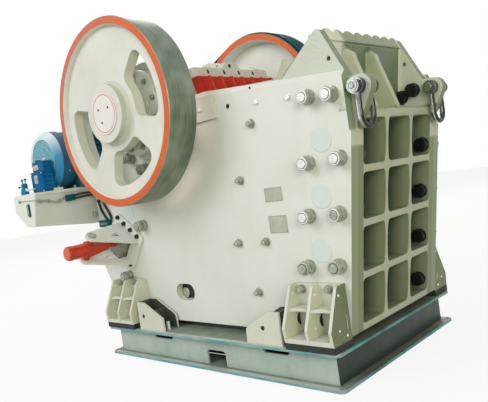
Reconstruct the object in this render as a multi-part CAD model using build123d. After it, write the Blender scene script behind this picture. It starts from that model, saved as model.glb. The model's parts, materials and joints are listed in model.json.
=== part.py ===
from build123d import *
import os
from math import atan2, cos, degrees, radians, sin, sqrt

# Single-toggle jaw crusher on a steel base, with bolted side plates and ribbed end castings.
# X runs along the machine towards the ribbed front, Y along the shaft, Z up; the near side is -Y.
# The origin is the centre of the base on its underside. Sizes are in millimetres.

# Base of rolled beams
base_length = 2829.0
base_width = 1826.0
base_height = 278.0
beam_flange = 22.0
beam_web = 20.0
web_inset = 83.0
flange_width = 300.0
flange_corner = 45.0
anchor_hole_radius = 17.0
anchor_inset = 40.0
fork_slot_length = 273.0
fork_slot_depth = 61.0
fork_slot_x = (-628.5, 768.0)
drain_slot_length = 228.0
drain_slot_height = 128.0
drain_slot_x = 76.0
slot_corner = 32.0

# Rubber pads, feet and stops
pad_height = 50.0
pad_under = 10.0
fit_gap = 0.3
foot_length = 442.0
foot_reach = 232.0
foot_height = 405.0
foot_top_reach = 105.0
foot_plate = 34.0
foot_rib = 26.0
foot_shelf_rise = 215.0
foot_shelf_reach = 181.0
foot_shelf_dip = 45.0
foot_knee = 13.0
foot_knee_rise = 108.0
foot_hole_radius = 52.0
foot_hole_rise = 135.0
foot_hole_out = 30.0
foot_top_corner = 30.0
front_foot_x = 1174.0
rear_foot_x = -1180.0
stop_plate = 24.0
stop_height = 262.0
stop_length = 366.0
stop_depth = 180.0
stop_top = 100.0
stop_end = 124.0
stop_tail = 6.0
stop_nose = 50.0
stop_cross = 198.0
stop_cross_height = 185.0
stop_inset = 35.0
stop_jack_radius = 60.0
stop_jack_length = 34.0
buffer_radius = 55.0
buffer_length = 60.0
buffer_rise = 140.0

# Side plates
plate_outer = 686.5
plate_thick = 86.5
plate_bottom = 335.0
plate_shoulder = 1786.0
plate_top_line = ((240.0, 2349.0), (1612.0, 2208.0))
plate_top_back = 60.0
plate_top_chamfer = 41.0
front_line_foot = 1334.2
front_lean = 0.1636
bearing_pad_thick = 28.0
bearing_pad_front = 390.0
bearing_pad_low = 2100.0
bearing_pad_clear = 2.0
seat_margin = 30.0
plate_rear_line = ((-1080.0, 2100.0), (-1410.0, 1560.0), (-1334.0, 1363.0), (-1676.0, 900.0),
                   (-1590.0, 716.0))
plate_rear_foot = -1440.0
inspection_hole = (255.0, 154.0)
inspection_place = (-381.0, 612.0)

# Front end casting
leg_thick = 73.0
leg_depth = 430.0
casting_depth = 344.0
casting_wall = 60.0
mullion_y = 190.0
mullion_thick = 58.0
rib_thick = 52.0
rib_shares = (0.01625, 0.25875, 0.496875, 0.74)
shelf_height = 1935.0
shelf_thick = 66.0
pocket_corner = 34.0
pocket_waist = 14.0
pocket_floor_round = 30.0
leg_back_z = 2050.0
horn_heel = (1037.0, 2277.0)
horn_peak = (1414.0, 2566.0)
horn_foot = (1597.0, 2194.0)
horn_round = 110.0
horn_hole_radius = 16.0
horn_hole = (1474.0, 2320.0)
lip_lower = 2363.0
lip_under = 2350.0
gusset_thick = 52.0
gusset_near_y = -324.0
gusset_inset = 4.0
ear_x = 1694.0
ear_z = 2080.0
ear_radius = 120.0
ear_foot_z = 1792.0
ear_root = 40.0
ear_root_fall = 12.0

# Rear end casting
rear_beam_line = ((-1010.0, 2060.0), (-830.0, 2010.0), (-600.0, 1860.0), (-640.0, 1740.0), (-900.0, 1780.0),
                  (-1110.0, 1900.0))
rear_wall_line = ((-1000.0, 1990.0), (-1110.0, 1900.0), (-1400.0, 1540.0), (-1400.0, 1290.0),
                  (-1310.0, 1300.0), (-1310.0, 1480.0), (-1030.0, 1830.0), (-930.0, 1850.0))
rear_seat_low = (-190.0, 170.0)
rear_seat_back = (-150.0, 210.0)
rear_seat_deep = 130.0
rear_gusset_line = ((-930.0, 1850.0), (-1030.0, 1830.0), (-1310.0, 1480.0), (-1310.0, 1300.0),
                    (-1240.0, 1360.0), (-840.0, 1780.0))

# Jaw dies
die_half_width = 519.0
die_plate = 90.0
tooth_depth = 50.0
tooth_pitch = 140.0
tooth_count = 8
tooth_foot = 96.0
tooth_tip = 32.0
tooth_root = 1.0
tooth_run_out = 20.0
crest_radius = 70.0
crest_height = 48.0
die_bottom = 420.0
die_top = 2552.0
lip_top = 2560.0
jaw_top_x = 104.0
jaw_top_z = 2530.0
discharge_gap = 160.0
cheek_thick = 52.0
cheek_gap = 2.0
cheek_rise = 60.0
cheek_step_z = 2180.0
cheek_touch_x = 1184.0
cheek_corner = (1073.0, 2419.0)
cheek_shoulder = (981.0, 2289.0)
cheek_rear_x = (250.0, -60.0)
cheek_rear_top = 2340.0
cheek_foot_x = 420.0

# Shaft, bearings and flywheels
shaft_x = -510.0
shaft_z = 2313.0
shaft_radius = 150.0
journal_radius = 170.0
eccentric_radius = 190.0
eccentric_clear = 4.0
journal_reach = 20.0
run_gap = 0.05
housing_radius = 360.0
housing_flange_radius = 430.0
housing_flange = 50.0
housing_cover_radius = 385.0
housing_cover_out = 180.0
housing_cap_radius = 235.0
housing_cap_out = 192.0
wheel_radius = 825.0
wheel_outer_y = 1121.0
wheel_width = 290.0
rim_thick = 70.0
web_recess = 43.0
wheel_web = 97.0
hub_radius = 255.0
hub_out = 43.0
hub_inner_y = 900.0
spoke_inner = 335.0
spoke_outer = 642.0
spoke_half_angle = 31.0
spoke_angles = (18.0, -72.0, -162.0)
spoke_fillet = 80.0
hub_chamfer = 34.0
rim_chamfer = 6.0
rim_draft = 24.0
rim_step = 12.0
cap_radius = 182.0
cap_thick = 8.0
groove_count = 6
groove_pitch = 40.0
groove_depth = 18.0

# Swing jaw
pitman_half_width = 500.0
pitman_head_radius = 360.0
pitman_wall = 85.0
pitman_rib = 60.0
pitman_rib_y = (-470.0, -160.0, 160.0, 470.0)
pitman_back_line = ((150.0, -1100.0), (110.0, -560.0), (-40.0, -340.0), (60.0, 352.0))
pitman_brow = 350.0
toggle_seat_half = 130.0
toggle_seat_depth = 120.0
clamp_half = 515.0
clamp_height = 95.0
clamp_front = 119.0
clamp_back = 220.0
clamp_hump = (55.0, 130.0, 62.0)
clamp_corner = 30.0
lug_half = 150.0
lug_top_half = 105.0
lug_rise = 205.0
lug_step = 115.0
lug_slope = 110.0
lug_thick = 180.0
lug_corner = 70.0

# Toggle and its adjusting wedges; the toggle rises towards the rear at this angle
toggle_angle = 143.0
wedge_x = -1228.0
wedge_z = 1115.0
wedge_stack = 220.0
wedge_height = 214.0
wedge_thick_end = 160.0
wedge_slope = 0.08
wedge_inner_y = 520.0
toggle_thick = 80.0
toggle_half_width = 420.0
toggle_length = 620.0
toggle_gap = 24.0
toggle_beam_depth = 170.0
toggle_beam_half = (110.0, 70.0)
cylinder_radius = 68.0
cylinder_chamfer = 8.0
cylinder_rod_radius = 26.0
tail_start_y = 1150.0
tail_end_y = 900.0
tail_half = 52.0
tail_high = 60.0
tail_low = 5.0
trunnion_y = 1106.0
trunnion_radius = 30.0
trunnion_proud = 10.0
cylinder_end_y = 1346.0
fork_gap_up = 135.0
fork_gap_down = 112.0
fork_plate = 30.0
fork_nose = 62.0
fork_root = (-235.0, 125.0)
fork_window = ((-62.0, 275.0), (-14.0, 150.0), (-100.0, 100.0))
fork_window_round = 16.0
bracket_flange = 24.0
bracket_along = (-262.0, 198.0)
bracket_up = (-168.0, 238.0)
bracket_corner = 40.0
wedge_window_clear = 6.0
wedge_proud = 120.0

# Lifting shackles
shackle_pin_radius = 32.0
shackle_bar = 22.0
shackle_jaw = 62.0
shackle_eye_radius = 58.0
shackle_eye_thick = 46.0
shackle_bow_drop = 190.0
shackle_bow_sides = 12
shackle_head = 34.0
shackle_head_edge = 16.0
shackle_pin_fit = 0.01
shackle_nut = 30.0

# Motor and its base behind the frame
motor_x = -2596.0
motor_shaft_height = 355.0
motor_shaft_radius = 50.0
motor_shaft_inset = 10.0
motor_cowl_radius = 352.0
motor_cowl_length = 170.0
motor_cowl_cone = (300.0, 60.0)
motor_grille_radius = 262.0
motor_grille_recess = 8.0
motor_fan_y = -700.0
motor_drive_y = 700.0
motor_body_radius = 300.0
motor_fin_reach = 340.0
motor_fin_thick = 10.0
motor_fin_count = 28
motor_shield_radius = 336.0
motor_shield_length = 70.0
motor_foot_x = 255.0
motor_foot_half = 60.0
motor_foot_length = 150.0
motor_foot_inset = 260.0
motor_foot_rise = 205.0
motor_base_top = 1760.0
motor_base_depth = 375.0
motor_base_drop = 85.0
motor_base_x0 = -2878.0
motor_base_x1 = -2337.0
motor_base_half = 1000.0
motor_arm_half = 240.0
motor_arm_line = ((-1700.0, 1240.0), (-1400.0, 1300.0), (-1400.0, 1530.0), (-1500.0, 1640.0))
motor_arm_top_drop = 40.0
motor_arm_low_rise = 10.0
motor_base_heel = (240.0, 184.0)
motor_base_rake = 0.3
motor_base_slot = (140.0, 56.0, 20.0)
motor_base_slot_x = 340.0
sheave_radius = 200.0
sheave_y = 976.0
sheave_half = 125.0
belt_thick = 14.0
belt_clear = 0.4

# Hydraulic unit on the base's near end, as two stacked boxes: length, depth and height
hydraulic_gap = 15.0
hydraulic_tank = (270.0, 145.0, 235.0)
hydraulic_head = (250.0, 110.0, 118.0)
hydraulic_shift = 91.0

# Values worked out from those above
plate_inner = plate_outer - plate_thick
leg_inner = plate_inner - leg_thick
deck = base_height
half_length = base_length / 2
half_width = base_width / 2
wheel_inner_y = wheel_outer_y - wheel_width
motor_z = motor_base_top + motor_shaft_height
toggle_along = Vector(cos(radians(toggle_angle)), 0, sin(radians(toggle_angle)))
toggle_up = Vector(sin(radians(toggle_angle)), 0, -cos(radians(toggle_angle)))
wall_front = casting_depth - casting_wall
ear_tip = front_line_foot + front_lean * ear_foot_z
toggle_end = -wedge_stack / 2 - toggle_beam_depth - toggle_length - toggle_gap
wedge_centre = Vector(wedge_x, 0, wedge_z)


def front_x(z):
    return front_line_foot + front_lean * z


# The horn's slanted front edge, and the straight feed edge along the side plate
def horn_edge_x(z):
    return horn_peak[0] + (horn_peak[1] - z) * (horn_foot[0] - horn_peak[0]) / (horn_peak[1] - horn_foot[1])


def plate_top_z(x):
    (x0, z0), (x1, z1) = plate_top_line
    return z0 + (x - x0) * (z1 - z0) / (x1 - x0)


def box(x0, x1, y0, y1, z0, z1):
    return Pos((x0 + x1) / 2, (y0 + y1) / 2, (z0 + z1) / 2) * Box(x1 - x0, y1 - y0, z1 - z0)


def outline(points):
    return make_face(Polyline(*points, close=True))


def round_corner(shape, point, radius):
    corner = shape.vertices().sort_by_distance((point[0], point[1], 0))[0]
    return fillet(corner, radius)


# A plate cut to an outline in the XY plane, between two heights
def level(shape, z0, z1):
    return extrude(Plane((0, 0, z0)) * shape, amount=z1 - z0)


# A plate cut to an outline in the XZ plane, between two Y values
def slab(shape, y0, y1):
    face = shape if isinstance(shape, (Sketch, Face)) else outline(shape)
    return extrude(Plane((0, y1, 0), x_dir=(1, 0, 0), z_dir=(0, -1, 0)) * face, amount=y1 - y0)


# A plate cut to an outline in the YZ plane, between two X values
def rib(shape, x0, x1):
    face = shape if isinstance(shape, (Sketch, Face)) else outline(shape)
    return extrude(Plane((x0, 0, 0), x_dir=(0, 1, 0), z_dir=(1, 0, 0)) * face, amount=x1 - x0)


def rod(x, z, radius, y0, y1):
    return slab(Pos(x, z) * Circle(radius), y0, y1)


def ring(x, z, outer, inner, y0, y1):
    return slab(Pos(x, z) * (Circle(outer) - Circle(inner)), y0, y1)


# A slab that leans with the front, between two depths behind the front line
def band(back, front, z0, z1, y0, y1):
    shape = ((front_x(z0) - back, z0), (front_x(z1) - back, z1), (front_x(z1) - front, z1),
             (front_x(z0) - front, z0))
    return slab(shape, y0, y1)


def far(shape):
    return mirror(shape, about=Plane.XZ)


# A point given along and across the toggle direction, from the wedge centre
def toggle_point(along, up):
    place = wedge_centre + toggle_along * along + toggle_up * up
    return (place.X, place.Z)


def save(name, shape):
    solids = shape.solids()
    whole = Compound(children=list(solids)) if len(solids) > 1 else solids[0]
    export_step(whole, os.path.join("parts", name + ".step"))


# Base: two long beams and two end beams with flanges top and bottom
def make_long_beam():
    middle = -half_width + flange_width / 2
    flange = Pos(0, middle) * Rectangle(base_length, flange_width)
    flange = fillet(flange.vertices().group_by(Axis.Y)[0], flange_corner)
    beam = level(flange, deck - beam_flange, deck)
    for x in (-half_length + anchor_inset, half_length - anchor_inset):
        flange -= Pos(x, -half_width + anchor_inset) * Circle(anchor_hole_radius)
    beam += level(flange, 0, beam_flange)
    web = Pos(0, deck / 2) * Rectangle(base_length - 2 * web_inset, deck - 2 * beam_flange)
    for x in fork_slot_x:
        slot = RectangleRounded(fork_slot_length, 2 * fork_slot_depth, slot_corner)
        web -= Pos(x, deck - beam_flange) * slot
    slot = RectangleRounded(drain_slot_length, 2 * drain_slot_height, slot_corner)
    web -= Pos(drain_slot_x, beam_flange) * slot
    web_y = -half_width + web_inset
    return beam + slab(web, web_y, web_y + beam_web)


def make_end_beam(side):
    inner = half_width - flange_width
    x_out = side * half_length
    x_in = x_out - side * flange_width
    x0, x1 = min(x_out, x_in), max(x_out, x_in)
    web = x_out - side * web_inset
    w0, w1 = min(web, web - side * beam_web), max(web, web - side * beam_web)
    beam = box(x0, x1, -inner, inner, 0, beam_flange)
    beam += box(x0, x1, -inner, inner, deck - beam_flange, deck)
    return beam + box(w0, w1, -inner, inner, beam_flange, deck - beam_flange)


# Foot: three leaning ribs on a base plate, with a shelf that dips between them
def make_foot(centre_x):
    x0 = centre_x - foot_length / 2
    x1 = centre_x + foot_length / 2
    z0 = deck + pad_height
    top = z0 + foot_height
    wall = -plate_outer
    foot = box(x0, x1, wall - foot_reach, wall, z0, z0 + foot_plate)
    foot += box(x0, x1, wall - foot_plate, wall, z0, top)
    lip = wall - foot_shelf_reach
    arcs = [ThreePointArc((a, lip), ((a + b) / 2, lip + foot_shelf_dip), (b, lip))
            for a, b in ((x0, centre_x), (centre_x, x1))]
    shelf = make_face([*arcs, Line((x0, lip), (x0, wall)), Line((x0, wall), (x1, wall)),
                       Line((x1, wall), (x1, lip))])
    foot += level(shelf, z0 + foot_shelf_rise, z0 + foot_shelf_rise + foot_rib)
    corner = (wall - foot_top_reach, top)
    knee = (wall - foot_reach - foot_knee, z0 + foot_knee_rise)
    side = outline(((wall, z0), (wall - foot_reach, z0), knee, corner, (wall, top)))
    side = round_corner(side, corner, foot_top_corner)
    side -= Pos(wall - foot_hole_out, z0 + foot_hole_rise) * Circle(foot_hole_radius)
    for x in (x0, centre_x - foot_rib / 2, x1 - foot_rib):
        foot += rib(side, x, x + foot_rib)
    return foot


def make_pad(centre_x):
    x0 = centre_x - foot_length / 2
    wall = -plate_outer
    return box(x0, x0 + foot_length, wall - foot_reach, wall + pad_under, deck, deck + pad_height)


# Stop: a box of two sloped plates, a cross plate and the disc that carries its rubber buffer
def make_stop(foot_edge, side):
    start = foot_edge + side * (buffer_length + 2 * fit_gap)
    end = start + side * stop_length
    y0 = -plate_outer - foot_reach + stop_inset
    nose = (end - side * stop_tail, deck + stop_end)
    sharp = outline(((start, deck), (start, deck + stop_height),
                     (start + side * stop_top, deck + stop_height), nose, (end, deck)))
    rounded = round_corner(sharp, nose, stop_nose)
    stop = slab(rounded if side < 0 else sharp, y0, y0 + stop_plate)
    stop += slab(rounded, y0 + stop_depth - stop_plate, y0 + stop_depth)
    for near, height in ((start, stop_height), (start + side * stop_cross, stop_cross_height)):
        x0, x1 = sorted((near, near + side * stop_plate))
        stop += box(x0, x1, y0, y0 + stop_depth, deck, deck + height)
    x = start + side * (stop_plate + stop_jack_length / 2)
    jack = Rot(0, 90, 0) * Cylinder(stop_jack_radius, stop_jack_length)
    return stop + Pos(x, y0 + stop_depth / 2, deck + buffer_rise) * jack


def make_buffer(foot_edge, side):
    y = -plate_outer - foot_reach + stop_inset + stop_depth / 2
    x = foot_edge + side * (fit_gap + buffer_length / 2)
    return Pos(x, y, deck + buffer_rise) * Rot(0, 90, 0) * Cylinder(buffer_radius, buffer_length)


# Side plate with its front line, the chamfered feed edge and the bearing seat with its raised pad
def make_side_plate():
    edge0, edge1 = plate_top_line
    shape = outline((
        (front_x(plate_bottom), plate_bottom), (front_x(plate_shoulder), plate_shoulder),
        (edge1[0], ear_foot_z), edge1, edge0, (plate_top_back, edge0[1]), (shaft_x, shaft_z),
        *plate_rear_line, (plate_rear_foot, plate_bottom)))
    shape += Pos(shaft_x, shaft_z) * Circle(housing_flange_radius + seat_margin)
    pad = shape & outline(((shaft_x, bearing_pad_low), (bearing_pad_front, bearing_pad_low),
                           (bearing_pad_front, plate_top_z(bearing_pad_front) - plate_top_chamfer),
                           (plate_top_back, edge0[1] - plate_top_chamfer),
                           (shaft_x, edge0[1] - plate_top_chamfer)))
    pad -= Pos(shaft_x, shaft_z) * Circle(housing_flange_radius + bearing_pad_clear)
    bore = Pos(shaft_x, shaft_z) * Circle(housing_radius + fit_gap)
    window = Pos(wedge_x, wedge_z) * Rot(0, 0, toggle_angle) * wedge_window()
    hole = Pos(*inspection_place) * SlotOverall(*inspection_hole)
    plate = slab(shape - bore - window - hole, -plate_outer, -plate_inner)
    along = (edge0[0] + edge1[0]) / 2
    tops = [plate.edges().sort_by_distance((x, -plate_outer, z))[0]
            for x, z in ((along, plate_top_z(along)), ((plate_top_back + edge0[0]) / 2, edge0[1]))]
    plate = chamfer(tops, plate_top_chamfer)
    return plate + slab(pad, -plate_outer - bearing_pad_thick, -plate_outer)


def wedge_window():
    clear = 2 * wedge_window_clear
    return Rectangle(wedge_stack + clear, wedge_height + clear)


# Front casting: two bolted legs with horns and ears, and a ribbed wall with deep round-cornered pockets
def make_front_casting():
    leg = outline((
        (front_x(plate_bottom), plate_bottom), (ear_tip, ear_foot_z), (ear_tip, horn_foot[1]),
        horn_foot, horn_peak, horn_heel, (horn_heel[0], cheek_step_z),
        (front_x(leg_back_z) - leg_depth, leg_back_z),
        (front_x(plate_bottom) - leg_depth, plate_bottom)))
    leg = round_corner(leg, horn_peak, horn_round)
    leg -= Pos(*horn_hole) * Circle(horn_hole_radius)
    tangent = ear_tangent(ear_tip, ear_foot_z)
    ear = outline(((ear_tip - ear_root, ear_foot_z), tangent, (ear_x, ear_z), (ear_x, ear_z + ear_radius),
                   (ear_tip - ear_root, ear_z + ear_radius - ear_root_fall)))
    ear += Pos(ear_x, ear_z) * Circle(ear_radius)
    hole = Pos(ear_x, ear_z) * Circle(shackle_pin_radius + 2 * run_gap)
    side = slab(leg + ear - hole, -plate_inner, -leg_inner)
    casting = side + far(side)
    casting += band(casting_depth, 0, plate_bottom, shelf_height, -leg_inner, leg_inner)
    casting += band(casting_depth, wall_front, shelf_height, lip_under, -leg_inner, leg_inner)
    edge_x = horn_edge_x(lip_lower)
    lip = slab(((front_x(lip_under) - casting_depth, lip_under),
                (front_x(lip_top) - casting_depth, lip_top), (horn_edge_x(lip_top), lip_top),
                (edge_x, lip_lower), (edge_x, lip_under)), -leg_inner, leg_inner)
    casting += lip & rib(crest_profile(lip_top), shaft_x, ear_x)
    wall_height = shelf_height - plate_bottom
    edges_z = [plate_bottom + share * wall_height for share in rib_shares]
    edges_z.append(shelf_height - (shelf_thick - rib_thick / 2))
    inner = mullion_y - mullion_thick / 2
    outer = mullion_y + mullion_thick / 2
    for low, high in zip(edges_z, edges_z[1:]):
        for y0, y1 in ((-leg_inner, -outer), (-inner, inner), (outer, leg_inner)):
            casting -= make_pocket(y0, y1, low + rib_thick / 2, high - rib_thick / 2)
    gusset = ((front_x(shelf_height) - wall_front, shelf_height),
              (front_x(lip_under) - wall_front, lip_under), (edge_x, lip_under),
              (front_x(shelf_height) - gusset_inset, shelf_height))
    for y in (gusset_near_y, 0):
        casting += slab(gusset, y - gusset_thick / 2, y + gusset_thick / 2)
    return casting


# One pocket: round corners, sides that swell into the mullions and a round where they meet the floor
def make_pocket(y0, y1, z0, z1):
    edges = [Line((y0, z0), (y1, z0)), Line((y0, z1), (y1, z1))]
    for y, out in ((y0, -1), (y1, 1)):
        if abs(y) < leg_inner:
            edges.append(ThreePointArc((y, z0), (y + out * pocket_waist, (z0 + z1) / 2), (y, z1)))
        else:
            edges.append(Line((y, z0), (y, z1)))
    shape = make_face(edges)
    shape = fillet(shape.vertices(), pocket_corner)
    cut = rib(shape, front_x(z0) - casting_depth, front_x(z1) + casting_wall)
    cut &= band(wall_front, -casting_wall, z0, z1, -leg_inner, leg_inner)
    floor = cut.faces().sort_by(Axis.X)[0]
    return fillet(floor.edges(), pocket_floor_round)


# The round-topped wave along the top of the fixed die and of the lip in front of it
def crest_profile(top):
    valley = top - crest_height
    shape = Pos(0, valley / 2) * Rectangle(2 * plate_inner, valley)
    for number in range(tooth_count):
        shape += Pos(tooth_y(number), top - crest_radius) * Circle(crest_radius)
    return shape


def tooth_y(number):
    return tooth_pitch * (number - (tooth_count - 1) / 2)


# Where a line from the ear's foot touches the ear's round nose
def ear_tangent(foot_x, foot_z):
    reach = sqrt((ear_x - foot_x) ** 2 + (ear_z - foot_z) ** 2)
    turn = atan2(ear_z - foot_z, ear_x - foot_x)
    half = atan2(ear_radius, sqrt(reach ** 2 - ear_radius ** 2))
    length = sqrt(reach ** 2 - ear_radius ** 2)
    return (foot_x + length * cos(turn - half), foot_z + length * sin(turn - half))


# Rear casting: an upper beam, a lower beam behind the wedges, a wall between them and two gussets
def make_rear_casting():
    casting = slab(rear_beam_line, -plate_inner, plate_inner)
    start = wedge_stack / 2 + fit_gap
    beam = [toggle_point(start, rear_seat_low[0]), toggle_point(start, rear_seat_low[1]),
            toggle_point(start + rear_seat_deep, rear_seat_back[1]),
            toggle_point(start + rear_seat_deep, rear_seat_back[0])]
    casting += slab(beam, -plate_inner, plate_inner)
    casting += slab(rear_wall_line, -plate_inner, plate_inner)
    for y in (-mullion_y, mullion_y):
        casting += slab(rear_gusset_line, y - mullion_thick / 2, y + mullion_thick / 2)
    return casting


# One vertical tooth, standing off the XY plane's X = 0 towards +X
def make_tooth(depth, length):
    foot, tip = tooth_foot / 2, tooth_tip / 2
    shape = outline(((-tooth_root, -foot), (-tooth_root, foot), (depth, tip), (depth, -tip)))
    return level(shape, 0, length)


# Fixed die: a plate with vertical teeth towards the chamber and a waved top edge
def make_fixed_die():
    back = casting_depth + fit_gap
    die = band(back + die_plate, back, die_bottom, die_top, -die_half_width, die_half_width)
    lean = degrees(atan2(front_lean, 1))
    length = (die_top - die_bottom) / cos(radians(lean))
    start_x = front_x(die_bottom) - back - die_plate
    for number in range(tooth_count):
        tooth = Rot(0, lean, 0) * (Rot(0, 0, 180) * make_tooth(tooth_depth, length))
        die += Pos(start_x, tooth_y(number), die_bottom) * tooth
    window = Pos(0, (die_top + die_bottom) / 2) * Rectangle(2 * die_half_width, die_top - die_bottom)
    return die & rib(crest_profile(die_top) & window, 0, ear_x)


# The line of the moving die's face, from its top corner to the discharge gap
jaw_foot_x = front_x(die_bottom) - casting_depth - die_plate - tooth_depth - discharge_gap
jaw_lean = (jaw_foot_x - jaw_top_x) / (jaw_top_z - die_bottom)


def jaw_x(z, depth):
    slant = sqrt(1 + jaw_lean ** 2)
    return jaw_top_x + jaw_lean * (jaw_top_z - z) - depth * slant


def make_moving_die():
    deep = tooth_depth + die_plate
    shape = ((jaw_x(jaw_top_z, tooth_depth), jaw_top_z), (jaw_x(die_bottom, tooth_depth), die_bottom),
             (jaw_x(die_bottom, deep), die_bottom), (jaw_x(jaw_top_z, deep), jaw_top_z))
    die = slab(shape, -die_half_width, die_half_width)
    angle = degrees(atan2(jaw_lean, 1))
    length = (jaw_top_z - die_bottom - 2 * tooth_run_out) * sqrt(1 + jaw_lean ** 2)
    low = die_bottom + tooth_run_out
    for number in range(tooth_count - 1):
        y = (tooth_y(number) + tooth_y(number + 1)) / 2
        tooth = Rot(0, -angle, 0) * make_tooth(tooth_depth - tooth_root, length)
        die += Pos(jaw_x(low, tooth_depth), y, low) * tooth
    return die


# Pitman: a head round the eccentric journal, a face wall for the die, deep ribs and a toggle seat
def make_pitman():
    deep = tooth_depth + die_plate + fit_gap
    half = pitman_half_width
    top = jaw_top_z
    seat = toggle_seat_points()
    pitman = rod(shaft_x, shaft_z, pitman_head_radius, -half, half)
    wall = ((jaw_x(top, deep), top), (jaw_x(die_bottom, deep), die_bottom),
            (jaw_x(die_bottom, deep + pitman_wall), die_bottom), (jaw_x(top, deep + pitman_wall), top))
    pitman += slab(wall, -half, half)
    pitman += slab(seat, -half, half)
    back = [(shaft_x + x, shaft_z + z) for x, z in pitman_back_line]
    web = ((jaw_x(top, deep), top), (jaw_x(die_bottom, deep), die_bottom), seat[3], seat[0], seat[1],
           *back, (shaft_x + pitman_brow, top))
    for y in pitman_rib_y:
        pitman += slab(web, y - pitman_rib / 2, y + pitman_rib / 2)
    pitman += make_lug(jaw_x(top, clamp_back) - fit_gap, top)
    return pitman - rod(shaft_x, shaft_z, eccentric_radius + run_gap, -half - 1, half + 1)


# Lug on the pitman's brow behind the clamp bar, with a sloped front and round shoulders
def make_lug(front, low):
    lug = slab(((front, low), (front, low + lug_step), (front - lug_slope, low + lug_rise),
                (front - lug_thick, low + lug_rise), (front - lug_thick, low)), -lug_half, lug_half)
    face = outline(((-lug_half, low), (-lug_top_half, low + lug_rise), (lug_top_half, low + lug_rise),
                    (lug_half, low)))
    face = fillet(face.vertices().group_by(Axis.Y)[-1], lug_corner)
    lug &= rib(face, front - lug_thick, front)
    return lug + box(front - lug_thick, front, -lug_half, lug_half, low - pitman_wall, low)


# Toggle seat on the pitman: a bar whose face stays clear of the toggle's end by the open gap
def toggle_seat_points():
    half = toggle_seat_half
    deep = toggle_end - toggle_seat_depth
    return (toggle_point(toggle_end, -half), toggle_point(toggle_end, half), toggle_point(deep, half),
            toggle_point(deep, -half))


def make_toggle():
    start = -wedge_stack / 2 - toggle_beam_depth - fit_gap
    half = toggle_thick / 2
    shape = [toggle_point(start, -half), toggle_point(start, half),
             toggle_point(start - toggle_length, half), toggle_point(start - toggle_length, -half)]
    return slab(shape, -toggle_half_width, toggle_half_width)


def make_toggle_beam():
    start = -wedge_stack / 2 - fit_gap
    thick, thin = toggle_beam_half
    shape = [toggle_point(start, -thick), toggle_point(start, thick),
             toggle_point(start - toggle_beam_depth, thin), toggle_point(start - toggle_beam_depth, -thin)]
    return slab(shape, -wedge_inner_y, wedge_inner_y)


# Wedge: one from each side, thick at its own side, sliding on the other's slope
def make_near_wedge():
    inner_end = wedge_inner_y
    outer_end = plate_outer + wedge_proud
    base = -wedge_stack / 2
    thick = wedge_thick_end - wedge_slope * (inner_end + outer_end)
    shape = outline(((base, outer_end), (base, -inner_end), (base + thick - fit_gap, -inner_end),
                     (base + wedge_thick_end - fit_gap, outer_end)))
    return extrude(bracket_plane(-wedge_height / 2, 0) * shape, amount=wedge_height)


# A plane across the bracket: X runs along the toggle line, Y out from the near side plate
def bracket_plane(up, out):
    origin = wedge_centre + toggle_up * up - Vector(0, out, 0)
    return Plane(tuple(origin), x_dir=tuple(toggle_along), z_dir=tuple(toggle_up))


# Wedge cylinder: a round body, a tapered end block, the rod to the wedge and the trunnion pin
def make_cylinder():
    end = Plane((wedge_x, -tail_start_y, wedge_z), x_dir=(1, 0, 0), z_dir=(0, -1, 0))
    body = extrude(end * Circle(cylinder_radius), amount=cylinder_end_y - tail_start_y)
    body = chamfer(body.faces().sort_by(Axis.Y)[0].edges(), cylinder_chamfer)
    side = Plane(tuple(wedge_centre - toggle_along * tail_half), x_dir=(0, -1, 0),
                 z_dir=tuple(toggle_along))
    tail = outline(((tail_start_y, cylinder_radius), (tail_start_y, -cylinder_radius),
                    (tail_end_y, -tail_low), (tail_end_y, tail_high)))
    body += extrude(side * tail, amount=2 * tail_half)
    wedge_end = plate_outer + wedge_proud + fit_gap
    body += rod(wedge_x, wedge_z, cylinder_rod_radius, -tail_end_y - 1, -wedge_end)
    low = -fork_gap_down - fork_plate - trunnion_proud
    high = fork_gap_up + fork_plate + trunnion_proud
    return body + extrude(bracket_plane(low, trunnion_y) * Circle(trunnion_radius), amount=high - low)


# Wedge bracket: a flange on the side plate and two forks with windows for the cylinder's pins
def make_bracket():
    along, up = bracket_along, bracket_up
    flange = Pos((along[0] + along[1]) / 2, -(up[0] + up[1]) / 2)
    flange = flange * RectangleRounded(along[1] - along[0], up[1] - up[0], bracket_corner)
    flange -= wedge_window()
    flange = Pos(wedge_x, wedge_z) * Rot(0, 0, toggle_angle) * flange
    bracket = slab(flange, -plate_outer - bracket_flange, -plate_outer)
    reach = trunnion_y - plate_outer
    fork = outline(((fork_root[0], 0), (-fork_nose, reach), (fork_nose, reach), (fork_root[1], 0)))
    fork += Pos(0, reach) * Circle(fork_nose)
    fork -= Pos(0, reach) * Circle(trunnion_radius + fit_gap)
    hole = outline(fork_window)
    fork -= fillet(hole.vertices(), fork_window_round)
    for start in (fork_gap_up, -fork_gap_down - fork_plate):
        bracket += extrude(bracket_plane(start, plate_outer) * fork, amount=fork_plate)
    return bracket


# Bearing housing: a spigot in the side plate, a bolted flange, the round body and its cover
def make_bearing_housing():
    bore = journal_radius + run_gap
    out = plate_outer + housing_flange
    body = plate_outer + housing_cover_out
    housing = ring(shaft_x, shaft_z, housing_radius, bore, -plate_outer, -leg_inner)
    housing += ring(shaft_x, shaft_z, housing_flange_radius, bore, -out, -plate_outer)
    housing += ring(shaft_x, shaft_z, housing_cover_radius, bore, -body, -out)
    return housing + ring(shaft_x, shaft_z, housing_cap_radius, bore, -plate_outer - housing_cap_out, -body)


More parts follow.
